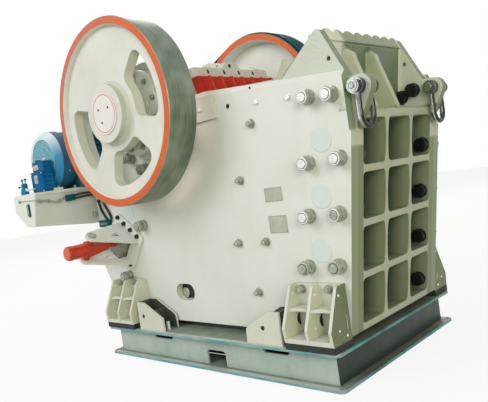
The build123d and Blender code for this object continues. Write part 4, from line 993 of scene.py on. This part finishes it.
def arc(centre, radius, start, end, steps=12):
    angles = [radians(start + (end - start) * i / steps) for i in range(steps + 1)]
    return [(centre[0] + radius * cos(a), centre[1] + radius * sin(a)) for a in angles]


# The front casting as the foundry left it: the solid's own form, with slimmer ears, a lip that is cut back
# below its wave, nosed ribs under it and fuller horn tips
castFront = {"ear": (1694, 2080), "earRadius": 82, "earFoot": (1628, 1792), "outer": 601, "inner": 526,
             "hornPeak": (1414, 2566), "hornHeel": (1037, 2277), "hornFoot": (1597, 2194), "hornRound": 38,
             "leg": (527, 600), "lipLow": 2458, "wallX": (1434.9, 1453.2), "under": 2349.5,
             "ribs": {-324: 52, 0: 52}, "clear": (1900, 2320), "lipFront": 1560, "noseFront": 1523.5,
             "noseTop": 2440, "nose": [(1516, 2364), (1507, 2376), (1494, 2380), (1478, 2396)]}


def makeCastFront(facts):
    cutEars, cutLip, add = bmesh.new(), bmesh.new(), bmesh.new()
    (earX, earZ), radius = facts["ear"], facts["earRadius"]
    footX, footZ = facts["earFoot"]
    peak, heel, foot = (Vector(facts[k]) for k in ("hornPeak", "hornHeel", "hornFoot"))
    lean = (foot.x - peak.x) / (peak.y - foot.y)
    reach = hypot(earX - footX, earZ - footZ)
    tangent = atan2(radius, sqrt(reach ** 2 - radius ** 2))
    turn = degrees(atan2(earZ - footZ, earX - footX)) - degrees(tangent)
    top = earZ + radius
    clearX, clearZ = facts["clear"]
    outside = [(peak.x + (peak.y - top) * lean + 1, top), *arc((earX, earZ), radius, 90, turn - 90),
               (footX, footZ), (clearX, footZ - 80), (clearX, clearZ),
               (peak.x + (peak.y - clearZ) * lean + 1, clearZ)]
    low, high = facts["leg"]
    for way in sides.values():
        near, far = sorted((way * facts["inner"], way * facts["outer"]))
        prism(cutEars, outside, near, far)
    down, up = facts["wallX"]
    under, lipLow, lipFront = facts["under"], facts["lipLow"], facts["lipFront"]
    lip = [(down, under), (up, lipLow - 3), (peak.x + (peak.y - lipLow) * lean + 3, lipLow + 3),
           (lipFront, lipLow + 3), (lipFront, under)]
    prism(cutLip, lip, -low, low)
    for y, thick in facts["ribs"].items():
        nose = [(down - 20, under - 30), (facts["noseFront"], under - 30), *facts["nose"],
                (up + 2, facts["noseTop"]), (up - 20, facts["noseTop"])]
        prism(add, nose, y - thick / 2 + 0.2, y + thick / 2 - 0.2)
    toHeel, toFoot = (heel - peak).normalized(), (foot - peak).normalized()
    half = toHeel.angle(toFoot) / 2
    inward = (toHeel + toFoot).normalized()
    centre = peak + inward * (facts["hornRound"] / sin(half))
    start, end = degrees(atan2(-toHeel.x, toHeel.y)), degrees(atan2(toFoot.x, -toFoot.y))
    start, end = (a if Vector((cos(radians(a)), sin(radians(a)))).dot(inward) < 0 else a + 180
                  for a in (start, end))
    start = start - 360 if start - end > 180 else start + 360 if end - start > 180 else start
    crown = [tuple(peak + toHeel * 160), *arc(centre, facts["hornRound"], start, end),
             tuple(peak + toFoot * 160), tuple(peak + inward * 170)]
    for way in sides.values():
        near, far = sorted((way * low, way * high))
        prism(add, crown, near, far)
    body = bmesh.new()
    body.from_mesh(nodes["front_end_casting"].data)
    bmesh.ops.remove_doubles(body, verts=body.verts, dist=1e-5)
    data = bpy.data.meshes.new("front_casting")
    body.to_mesh(data)
    body.free()
    piece = bpy.data.objects.new("front_casting", data)
    bpy.context.scene.collection.objects.link(piece)
    tools = []
    for name, mesh, action in (("cutEars", cutEars, "DIFFERENCE"), ("cutLip", cutLip, "DIFFERENCE"),
                               ("add", add, "UNION")):
        form = bpy.data.meshes.new(name)
        mesh.to_mesh(form)
        mesh.free()
        tool = bpy.data.objects.new(name, form)
        bpy.context.scene.collection.objects.link(tool)
        step = piece.modifiers.new(name, "BOOLEAN")
        step.object, step.operation, step.solver = tool, action, "EXACT"
        step.use_self = action == "UNION"
        tools.append(tool)
    bpy.context.view_layer.update()
    made = bpy.data.meshes.new_from_object(piece.evaluated_get(bpy.context.evaluated_depsgraph_get()))
    piece.modifiers.clear()
    piece.data = made
    for tool in tools:
        bpy.data.objects.remove(tool)
    mesh = bmesh.new()
    mesh.from_mesh(made)
    bmesh.ops.remove_doubles(mesh, verts=mesh.verts, dist=2e-5)
    bmesh.ops.dissolve_degenerate(mesh, edges=mesh.edges, dist=1e-5)
    bmesh.ops.dissolve_limit(mesh, angle_limit=radians(0.5), verts=mesh.verts, edges=mesh.edges)
    loose = sum(1 for e in mesh.edges if not e.is_manifold)
    print("front casting:", len(mesh.faces), "faces,", loose, "open edges")
    bpy.data.objects.remove(piece)
    piece = keepPiece("front_casting", mesh, ownFinishes["front_end_casting"], sharp=30)
    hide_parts("front_end_casting")


# Six V-belts between the motor's sheave and the far flywheel, each narrower at its foot
belts = {"small": (-2596, 2115, 200.8), "large": (-510, 2313, 825.8), "middle": 976, "pitch": 40,
         "count": 6, "foot": 22, "top": 34, "thick": 13.4}


def makeBelts(facts):
    (x0, z0, r0), (x1, z1, r1) = facts["small"], facts["large"]
    length, line = hypot(x1 - x0, z1 - z0), degrees(atan2(z1 - z0, x1 - x0))
    wrap = degrees(atan2(r1 - r0, sqrt(length ** 2 - (r1 - r0) ** 2)))
    thick, top = facts["thick"], facts["top"]
    section = ((0, facts["foot"]), (thick - 2, top), (thick, top - 3))
    mesh = bmesh.new()
    path = [(a, 0) for a in range(49)] + [(a, 1) for a in range(97)]
    for number in range(facts["count"]):
        y = facts["middle"] + (number - (facts["count"] - 1) / 2) * facts["pitch"]
        rings = []
        for step, wheel in path:
            if wheel == 0:
                first, last, count, (x, z, radius) = line + 90 + wrap, line + 270 - wrap, 48, facts["small"]
            else:
                first, last, count, (x, z, radius) = line - 90 - wrap, line + 90 + wrap, 96, facts["large"]
            angle = radians(first + (last - first) * step / count)
            ring = []
            for out, wide in section:
                for way in (-1, 1):
                    ring.append((x + (radius + out) * cos(angle), y + way * wide / 2,
                                 z + (radius + out) * sin(angle)))
            ring = [ring[0], ring[2], ring[4], ring[5], ring[3], ring[1]]
            rings.append([mesh.verts.new(Vector(p) * mm) for p in ring])
        for low, high in zip(rings, rings[1:] + rings[:1]):
            for i in range(6):
                mesh.faces.new((low[i], low[(i + 1) % 6], high[(i + 1) % 6], high[i]))
    piece = keepPiece("six_v_belts", mesh, tealRubber, sharp=30)
    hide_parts("v_belts")


# Motor: rings, spokes and a centre cap on the grille, cowl screws, foot bolts, small bare plates on the
# fins, and lifting eyes
motor = {"x": -2596, "z": 2115, "face": -692, "rings": (92, 176, 246), "cowl": 352, "cowlY": -560,
         "top": 1760, "feet": (-475, -255, 255, 475), "footX": 232,
         "plates": [(-2711, 2393, 62), (-2700, 2338, 34)], "eyes": (-250, 250), "fins": 340, "spokes": 12,
         "spokeReach": (30, 255), "cowlScrews": 8, "plateY": -400, "eyeRound": 38}


def makeMotorFittings(facts):
    x, z, face = facts["x"], facts["z"], facts["face"]
    wires, dark, bright, eyes = bmesh.new(), bmesh.new(), bmesh.new(), bmesh.new()
    for radius in facts["rings"]:
        turned(wires, (x, face, z), (0, -1, 0),
               [(-1, radius - 3), (1.2, radius - 2.4), (2.4, radius), (1.2, radius + 2.4),
                (-1, radius + 3)], 72)
    first, last = facts["spokeReach"]
    for spoke in range(facts["spokes"]):
        turn = radians(spoke * 360 / facts["spokes"] + 8)
        along = Vector((cos(turn), 0, sin(turn)))
        hub = Vector((x, face - 1.0, z))
        pipe(wires, [hub + along * first, hub + along * last], 1.8, 6, 2)
    turned(bright, (x, face, z), (0, -1, 0), [(-1, 34), (3, 34), (6, 28), (6, 14), (7.6, 12), (7.6, 0)], 32)
    for number in range(facts["cowlScrews"]):
        turn = radians(number * 360 / facts["cowlScrews"] + 20)
        out = Vector((cos(turn), 0, sin(turn)))
        place = Vector((x, facts["cowlY"], z)) + out * facts["cowl"]
        turned(dark, place, out, [(-3, 11), (1, 11), (4, 9), (4, 4), (2, 3), (2, 0)], 16)
    for y in facts["feet"]:
        for way in (-1, 1):
            turned(dark, (x + way * facts["footX"], y, facts["top"]), (0, 0, 1),
                   [(-1, 26), (4, 26), *hexSteps(4, 24, 38), (24, 12), (34, 12), (36, 9), (36, 0)], 24)
    for px, pz, half in facts["plates"]:
        out = Vector((px - x, 0, pz - z)).normalized()
        along = Vector((0, 1, 0))
        centre = Vector((x, facts["plateY"], z)) + out * (facts["fins"] + 1.5)
        block(bright, centre, (half * 2, 22, 5), 1.0, (along, along.cross(out) * -1, out))
    for y in facts["eyes"]:
        base = Vector((x, y, z + facts["fins"] - 12))
        turned(eyes, base, (0, 0, 1), [(0, 34), (20, 34), (24, 26), (38, 15), (40, 15)], 24)
        bend = facts["eyeRound"]
        ring = [base + Vector((0, bend * cos(a), 72 + bend * sin(a)))
                for a in (2 * pi * k / 20 for k in range(21))]
        pipe(eyes, ring, 9, 10, 3)
    keepPiece("motor_grille_rings", wires, grilleSteel)
    keepPiece("motor_screws", dark, phosphatedSteel)
    keepPiece("motor_bright_parts", bright, facedSteelAndGlare)
    keepPiece("motor_lifting_eyes", eyes, motorEnamel, sharp=50)


# Motor base: a clipped grease line along the front with its divider, two black transfer pipes, a level
# glass in the end slot, a flange strip, a rail end with its screw, drain plugs and a grease block on the
# arm
motorBase = {"front": -2337, "end": -1000, "half": 1000, "top": 1760,
             "line": [(-1000, 1672), (-940, 1668), (-870, 1662), (-835, 1656), (-778, 1632), (-735, 1636),
                      (-690, 1655), (-655, 1662)],
             "pipes": [[(-545, 1671), (-480, 1678), (-400, 1684), (-300, 1681), (-246, 1676)],
                       [(-545, 1638), (-480, 1640), (-400, 1647), (-300, 1649), (-246, 1652)]],
             "endLine": [(-2725, -1006, 1688), (-2600, -1006, 1684), (-2450, -1006, 1680),
                         (-2372, -1006, 1678), (-2345, -1004, 1677), (-2333, -994, 1676),
                         (-2330, -976, 1675)],
             "clips": [(-960, 1661), (-855, 1650), (-720, 1635)], "union": (-2725, 1686),
             "divider": (-612, 1651), "slot": (-2538, 1572.5), "rail": (-753, -647),
             "plugs": [(-628, 1385), (0, 1300), (628, 1385)], "plugX": -2520, "armFace": -258,
             "bent": [[(-2262, 1568), (-2254, 1516), (-2222, 1430), (-2150, 1340), (-2120, 1316)],
                      [(-2170, 1560), (-2150, 1500), (-2100, 1430), (-2062, 1370), (-2050, 1330)]],
             "block": (-2165, 1285), "cover": (-262, 1414)}


def makeBaseFittings(facts):
    front, end = facts["front"], facts["end"]
    lines, clips, black, teal, cream, bright = (bmesh.new() for _ in range(6))
    for drop in (0, 17):
        pipe(lines, [(front + 7, y, z - drop) for y, z in facts["line"]], 5, 8)
    pipe(lines, facts["endLine"], 5, 8)
    for y, z in facts["clips"]:
        block(clips, (front + 7, y, z), (16, 16, 44), 2)
    x, z = facts["union"]
    turned(clips, (x, end, z), (0, -1, 0), [(-1, 17), (5, 17), *hexSteps(5, 22, 26), (22, 6), (22, 0)], 24)
    for route in facts["pipes"]:
        pipe(black, [(front + 20, y, z) for y, z in route], 13, 12)
        for y, z in (route[0], route[-1]):
            turned(teal, (front + 20, y - 18, z), (0, 1, 0),
                   [(-20, 12), (-20, 19), (12, 19), (14, 22), (30, 22), (32, 15)], 24)
    y, z = facts["divider"]
    block(teal, (front + 20, y, z), (40, 68, 76), 5)
    for dy in (-20, 14):
        turned(teal, (front + 39, y + dy, z), (1, 0, 0), [(-1, 15), (7, 15), (9, 12), (9, 0)], 20)
    x, z = facts["slot"]
    block(teal, (x, end - 1, z), (60, 30, 146), 8)
    block(lines, (x, end - 16, z), (24, 8, 104), 3)
    for dz in (-62, 62):
        turned(bright, (x, end - 16, z + dz), (0, -1, 0), [(-1, 7), (3, 7), (4, 5), (4, 0)], 16)
    block(cream, (front - 1, 0, facts["top"] - 18), (14, 2 * facts["half"], 36), 3)
    y0, y1 = facts["rail"]
    block(cream, (front - 30, (y0 + y1) / 2, facts["top"] + 13), (70, y1 - y0, 30), 4)
    turned(clips, (front - 18, (y0 + y1) / 2 + 10, facts["top"] + 27), (0, 0, 1),
           [(-1, 17), (3, 17), *hexSteps(3, 18, 24), (18, 6), (18, 0)], 24)
    for y, z in facts["plugs"]:
        turned(clips, (facts["plugX"], y, z), (0, 0, -1),
               [(-1, 26), (8, 26), *hexSteps(8, 26, 36), (26, 0)], 24)
    for route in facts["bent"]:
        pipe(black, [(x, facts["armFace"], z) for x, z in route], 14, 12)
        turned(teal, (route[0][0], facts["armFace"], route[0][1] + 6), (0, 0, -1),
               [(-6, 10), (-6, 20), (26, 20), (28, 15)], 24)
    x, z = facts["block"]
    block(teal, (x, -272, z), (196, 62, 82), 6)
    for dx in (-66, -22, 22, 66):
        turned(clips, (x + dx, -303, z), (0, -1, 0), [(-1, 14), (4, 14), *hexSteps(4, 14, 20), (14, 0)], 24)
    y, z = facts["cover"]
    turned(clips, (front - 22, y, z), (1, 0, 0), [(-30, 30), (8, 30), (12, 26), (12, 9), (9, 7), (9, 0)],
           32)
    keepPiece("grease_lines", lines, phosphatedSteel, sharp=50)
    keepPiece("base_clips", clips, phosphatedSteel)
    keepPiece("black_pipes", black, beltRubber, sharp=50)
    keepPiece("grease_blocks", teal, tealSteel)
    keepPiece("base_strips", cream, creamEnamel)
    keepPiece("level_glass_screws", bright, facedSteelAndGlare)


# Hydraulic unit: a lid flange, filler and breather caps, bare plates, a pale level strip, cowl ribs, and
# the valve cluster beside it with its ball-ended levers and silver unions
hydraulics = {"tank": (-2640, -2370, -860, -715), "tankTop": 1995, "head": (-2630, -2380, -825, -715),
              "headTop": 2113, "deck": 1760, "valve": (-2688, -938), "levels": (1800, 1850, 1900, 1950),
              "ribPitch": 24, "ribs": 4, "capY": -772, "filler": -2590, "breather": -2430,
              "levers": [(-26, 186, -8), (34, 190, 10)], "strip": (-2470, 1910),
              "plates": [(-2566, 2052, 122, 58), (-2530, 1914, 76, 98)]}


def makeHydraulics(facts):
    x0, x1, y0, y1 = facts["tank"]
    blue, navy, plates, pale, silver, levers = (bmesh.new() for _ in range(6))
    block(navy, ((x0 + x1) / 2, (y0 + y1) / 2, facts["tankTop"]), (x1 - x0 + 10, y1 - y0 + 10, 12), 3)
    a0, a1, b0, b1 = facts["head"]
    block(navy, ((a0 + a1) / 2, (b0 + b1) / 2, facts["headTop"] - 3), (a1 - a0 + 6, b1 - b0 + 6, 12), 3)
    for k in range(facts["ribs"]):
        x = x1 - 34 - k * facts["ribPitch"]
        block(blue, (x, y0 - 3, 1868), (9, 10, 200), 2)
    for z in facts["levels"]:
        block(blue, (x1 + 3, (y0 + y1) / 2, z), (10, 108, 10), 2)
    for (x, z, width, height), face in zip(facts["plates"], (b0, y0)):
        block(plates, (x, face - 1, z), (width, 5, height), 1)
    x, z = facts["strip"]
    block(pale, (x, y0 - 5, z), (17, 10, 118), 2)
    for x in (x0 + 14, x1 - 14):
        for z in (1775, 1980):
            turned(silver, (x, y0, z), (0, -1, 0), [(-1, 8), (4, 8), (6, 6), (6, 0)], 14)
    turned(navy, (facts["filler"], facts["capY"], facts["headTop"]), (0, 0, 1),
           [(-1, 26), (8, 26), (10, 34), (24, 34), (28, 29), (28, 0)], 28)
    turned(silver, (facts["breather"], facts["capY"], facts["headTop"]), (0, 0, 1),
           [(-1, 15), (14, 15), (16, 20), (30, 20), (34, 14), (34, 0)], 24)
    for z in (2030, 2085):
        turned(levers, (a0, b0 + 22, z), (-1, 0, 0),
               [(-1, 13), (12, 13), (14, 18), (26, 18), (30, 10), (30, 0)], 20)
    x, y = facts["valve"]
    deck = facts["deck"]
    turned(blue, (x, y, deck), (0, 0, 1), [(-1, 52), (6, 52), (8, 44), (64, 44), (70, 38), (76, 38)], 32)
    turned(navy, (x + 6, y, deck + 74), (0, 0, 1), [(0, 30), (4, 34), (52, 34), (58, 26), (58, 0)], 28)
    turned(blue, (x - 40, y, deck + 30), (-1, 0, 0),
           [(0, 13), (20, 13), (22, 17), (40, 17), (43, 12), (43, 0)], 20)
    for dx, top, lean in facts["levers"]:
        pipe(levers, [(x + dx, y, deck + 112), (x + dx + lean, y, deck + top - 14)], 6, 8, 2)
        turned(levers, (x + dx + lean, y, deck + top - 26), (0, 0, 1),
               [(0, 6), (4, 12), (12, 15), (20, 12), (25, 5), (26, 0)], 18)
    pipe(levers, [(x - 30, y, deck + 98), (x - 80, y, deck + 98), (x - 120, y, deck + 97)], 5, 8, 2)
    turned(levers, (x - 146, y, deck + 97), (1, 0, 0), [(0, 4), (5, 11), (13, 13), (21, 11), (26, 5)], 18)
    turned(silver, (x + 34, y, deck + 62), Vector((0.8, 0, -0.25)),
           [(0, 15), (18, 15), (19, 20), (36, 20), (38, 13), (52, 13)], 24)
    turned(silver, (x - 44, y, deck + 124), (0, 0, 1),
           [(-30, 10), (0, 10), (2, 16), (20, 16), (24, 9), (24, 0)], 20)
    pipe(silver, [(x + 78, y, deck + 50), (x + 96, y + 20, deck + 48), (x + 104, y + 60, deck + 52),
                  (x + 104, y + 82, deck + 56)], 9, 10)
    keepPiece("hydraulic_ribs", blue, brightBlue)
    keepPiece("hydraulic_lids", navy, motorEnamel)
    keepPiece("hydraulic_plates", plates, stampedAluminium)
    keepPiece("hydraulic_level_strip", pale, brightBlue)
    keepPiece("hydraulic_unions", silver, facedSteelAndGlare, sharp=40)
    keepPiece("hydraulic_levers", levers, tealSteel, sharp=50)


# Inside the base: a dark liner behind each long beam closes its slots and the gap under the side plate, and
# a plate closes each end; these dark plates are painted shade
shadeLiners = {"x": (-1180, 1180), "z": (24, 330), "y": (604, 610), "shelf": (610, 716, 6, 14),
          "ends": (1333, 1339), "endHalf": 829, "endZ": (23, 255)}


def makeShadeLiners(facts):
    mesh = bmesh.new()
    (x0, x1), (z0, z1), (y0, y1) = facts["x"], facts["z"], facts["y"]
    a0, a1, b0, b1 = facts["shelf"]
    for way in sides.values():
        block(mesh, ((x0 + x1) / 2, way * (y0 + y1) / 2, (z0 + z1) / 2), (x1 - x0, y1 - y0, z1 - z0), 1.5)
        block(mesh, ((x0 + x1) / 2, way * (a0 + a1) / 2, (b0 + b1) / 2), (x1 - x0, a1 - a0, b1 - b0), 1.5)
    keepPiece("base_shade_liners", mesh, linerShadeSteel)
    mesh = bmesh.new()
    (inner, outer), (low, high) = facts["ends"], facts["endZ"]
    for way in sides.values():
        block(mesh, (way * (inner + outer) / 2, 0, (low + high) / 2),
              (outer - inner, 2 * facts["endHalf"], high - low), 1.5)
    keepPiece("base_shade_end_plates", mesh, linerShadeSteel)


# Feet: a turned plug in each rib's hole, dark in the inner ribs, where its dark stands for the shade in the
# hole, and enamelled in the one at the end
ribPlugs = {"dark": [1174, 966, -1180, -972], "pale": [1382, -1388], "y": 716.5, "z": 463, "radius": 51}


def makeRibPlugs(facts):
    for name, material, slot in (("dark", blackenedSteelAndShade, "dark_steel"),
                                 ("pale", footEnamelWithShade, "cream_paint")):
        mesh = bmesh.new()
        for way in sides.values():
            for x in facts[name]:
                turned(mesh, (x, way * facts["y"], facts["z"]), (1, 0, 0),
                       [(-6, facts["radius"] - 4), (-4, facts["radius"]), (4, facts["radius"]),
                        (6, facts["radius"] - 4), (5, facts["radius"] - 18), (5, 0)], 40)
        keepPiece("rib_plugs_" + name, mesh, material)


# Inspection hole: a dark cover sunk in the side plate, standing for the shade inside the hole, with a pale
# round knob on it
inspection = {"centre": (-381, 612), "length": 253, "width": 152, "cover": (606, 612),
              "knob": (-456, 588, 50)}


def makeInspectionCovers(facts):
    cover, knob = bmesh.new(), bmesh.new()
    (cx, cz), radius = facts["centre"], facts["width"] / 2
    reach = facts["length"] / 2 - radius
    points = [*arc((cx + reach, cz), radius, -90, 90), *arc((cx - reach, cz), radius, 90, 270)]
    kx, kz, size = facts["knob"]
    inner, outer = facts["cover"]
    for way in sides.values():
        near, far = sorted((way * inner, way * outer))
        prism(cover, points, near, far)
        onSide(knob, way, (kx, outer, kz),
               [(-1, size), (10, size), (14, size - 5), (14, 18), (11, 15), (11, 0)], 40)
    keepPiece("inspection_covers", cover, blackenedSteelAndShade)
    keepPiece("inspection_knobs", knob, phosphatedSteel)


for make, facts in ((makeShadeLiners, shadeLiners), (makeRibPlugs, ribPlugs), (makeInspectionCovers, inspection),
                    (makeFrameBolts, frameBolts), (makeBoltHeads, boltHeads),
                    (makePlateScrews, plateScrews), (makePlateDiscs, plateDiscs),
                    (makeBarePlates, barePlates), (makeFootFixings, footFixings), (makeStopFittings, stops),
                    (makeHousingScrews, housing), (makeHubFittings, hubFittings),
                    (makeBracketFittings, bracket), (makeClampFittings, clampBar),
                    (makeShackleFittings, shackle)):
    make(facts)
print("frame fittings made")
makeCastFront(castFront)
print("front casting made")
makeBelts(belts)
makeMotorFittings(motor)
makeBaseFittings(motorBase)
makeHydraulics(hydraulics)
print("drive fittings made")

# The camera stands where the photographer did: its place, and how it turns, tips and leans
cameraFacts = {"place": (3.7169, -4.0285, 1.5943), "turn": 0.7606, "tip": 0.0435, "lean": -0.1518,
               "focalPixels": 568.46, "frameWidth": 488, "sensor": 36.0}


def makeCamera():
    turn, tip, lean = (cameraFacts[k] for k in ("turn", "tip", "lean"))
    ahead = Vector((-sin(turn) * cos(tip), cos(turn) * cos(tip), -sin(tip)))
    level = Vector((cos(turn), sin(turn), 0))
    upright = level.cross(ahead)
    right = cos(lean) * level + sin(lean) * upright
    up = -sin(lean) * level + cos(lean) * upright
    data = bpy.data.cameras.new("camera")
    data.sensor_width = cameraFacts["sensor"]
    data.lens = cameraFacts["focalPixels"] * cameraFacts["sensor"] / cameraFacts["frameWidth"]
    camera = bpy.data.objects.new("camera", data)
    bpy.context.scene.collection.objects.link(camera)
    basis = Matrix((right, up, -ahead)).transposed().to_4x4()
    camera.matrix_world = Matrix.Translation(cameraFacts["place"]) @ basis
    bpy.context.scene.camera = camera


# A pale floor, soft lamps and a white surround that only the camera and reflections see. The key lamp
# stands to the near left and above, so the near side is lit and the ribbed front lies in soft shade
studio = {"floorSize": 60.0, "floorSeen": "#ffffff", "floorGlow": 0.85, "floorBounce": "#b0b0a6",
          "ambient": 0.44, "ambientColour": "#f6f7e8",
          "key": {"place": (-7.0, -18.0, 13.0), "size": 11.0, "power": 2000.0, "colour": "#f8f8ff"},
          "side": {"place": (11.0, -9.0, 4.5), "size": 6.0, "power": 820.0, "colour": "#fdfef3"},
          "back": {"place": (-9.0, 11.0, 9.0), "size": 8.0, "power": 700.0, "colour": "#ffffff"}}


def addLamp(name, facts):
    data = bpy.data.lights.new(name, "AREA")
    data.size = facts["size"]
    data.energy = facts["power"]
    data.color = srgb(facts["colour"])[:3]
    lamp = bpy.data.objects.new(name, data)
    bpy.context.scene.collection.objects.link(lamp)
    lamp.location = facts["place"]
    aim = Vector((0, 0, 1.2)) - Vector(facts["place"])
    lamp.rotation_euler = aim.to_track_quat("-Z", "Y").to_euler()


# 1 for what the camera, mirrors and glass see, 0 for the light that reaches surfaces
def seenOnly(tree):
    path = addNode(tree, "ShaderNodeLightPath")
    seen = calc("MAXIMUM", [(0, path, "Is Camera Ray"), (1, path, "Is Glossy Ray")])
    return calc("MAXIMUM", [(0, seen, 0), (1, path, "Is Transmission Ray")])


def makeStudio():
    world = bpy.data.worlds.new("studio")
    bpy.context.scene.world = world
    world.use_nodes = True
    tree = world.node_tree
    tree.nodes.clear()
    dim = addNode(tree, "ShaderNodeBackground",
                  {"Color": srgb(studio["ambientColour"]), "Strength": studio["ambient"]})
    white = addNode(tree, "ShaderNodeBackground", {"Color": (1, 1, 1, 1), "Strength": 1.0})
    mix = addNode(tree, "ShaderNodeMixShader", links=[(0, seenOnly(tree), 0), (1, dim, 0), (2, white, 0)])
    addNode(tree, "ShaderNodeOutputWorld", links=[("Surface", mix, 0)])
    for name in ("key", "side", "back"):
        addLamp(name, studio[name])
    mesh = bpy.data.meshes.new("floor")
    half = studio["floorSize"] / 2
    mesh.from_pydata([(-half, -half, 0), (half, -half, 0), (half, half, 0), (-half, half, 0)], [],
                     [(0, 1, 2, 3)])
    floor = bpy.data.objects.new("floor", mesh)
    bpy.context.scene.collection.objects.link(floor)
    floor.location.z = -0.002
    paper, tree, shader = newMaterial("floorPaper")
    shader.inputs["Base Color"].default_value = srgb(studio["floorBounce"])
    shader.inputs["Roughness"].default_value = 0.9
    seen = seenOnly(tree)
    paint(shader, seen, studio["floorSeen"])
    glow = addNode(tree, "ShaderNodeEmission", {"Color": (1, 1, 1, 1), "Strength": 1.0})
    share = calc("MULTIPLY", [(0, seen, 0)], {1: studio["floorGlow"]})
    mix = addNode(tree, "ShaderNodeMixShader", links=[(0, share, 0), (1, shader, 0), (2, glow, 0)])
    tree.links.new(mix.outputs[0], tree.nodes["Material Output"].inputs["Surface"])
    mesh.materials.append(paper)


makeCamera()
makeStudio()
bpy.context.scene.view_settings.view_transform = "Standard"
print("studio set")
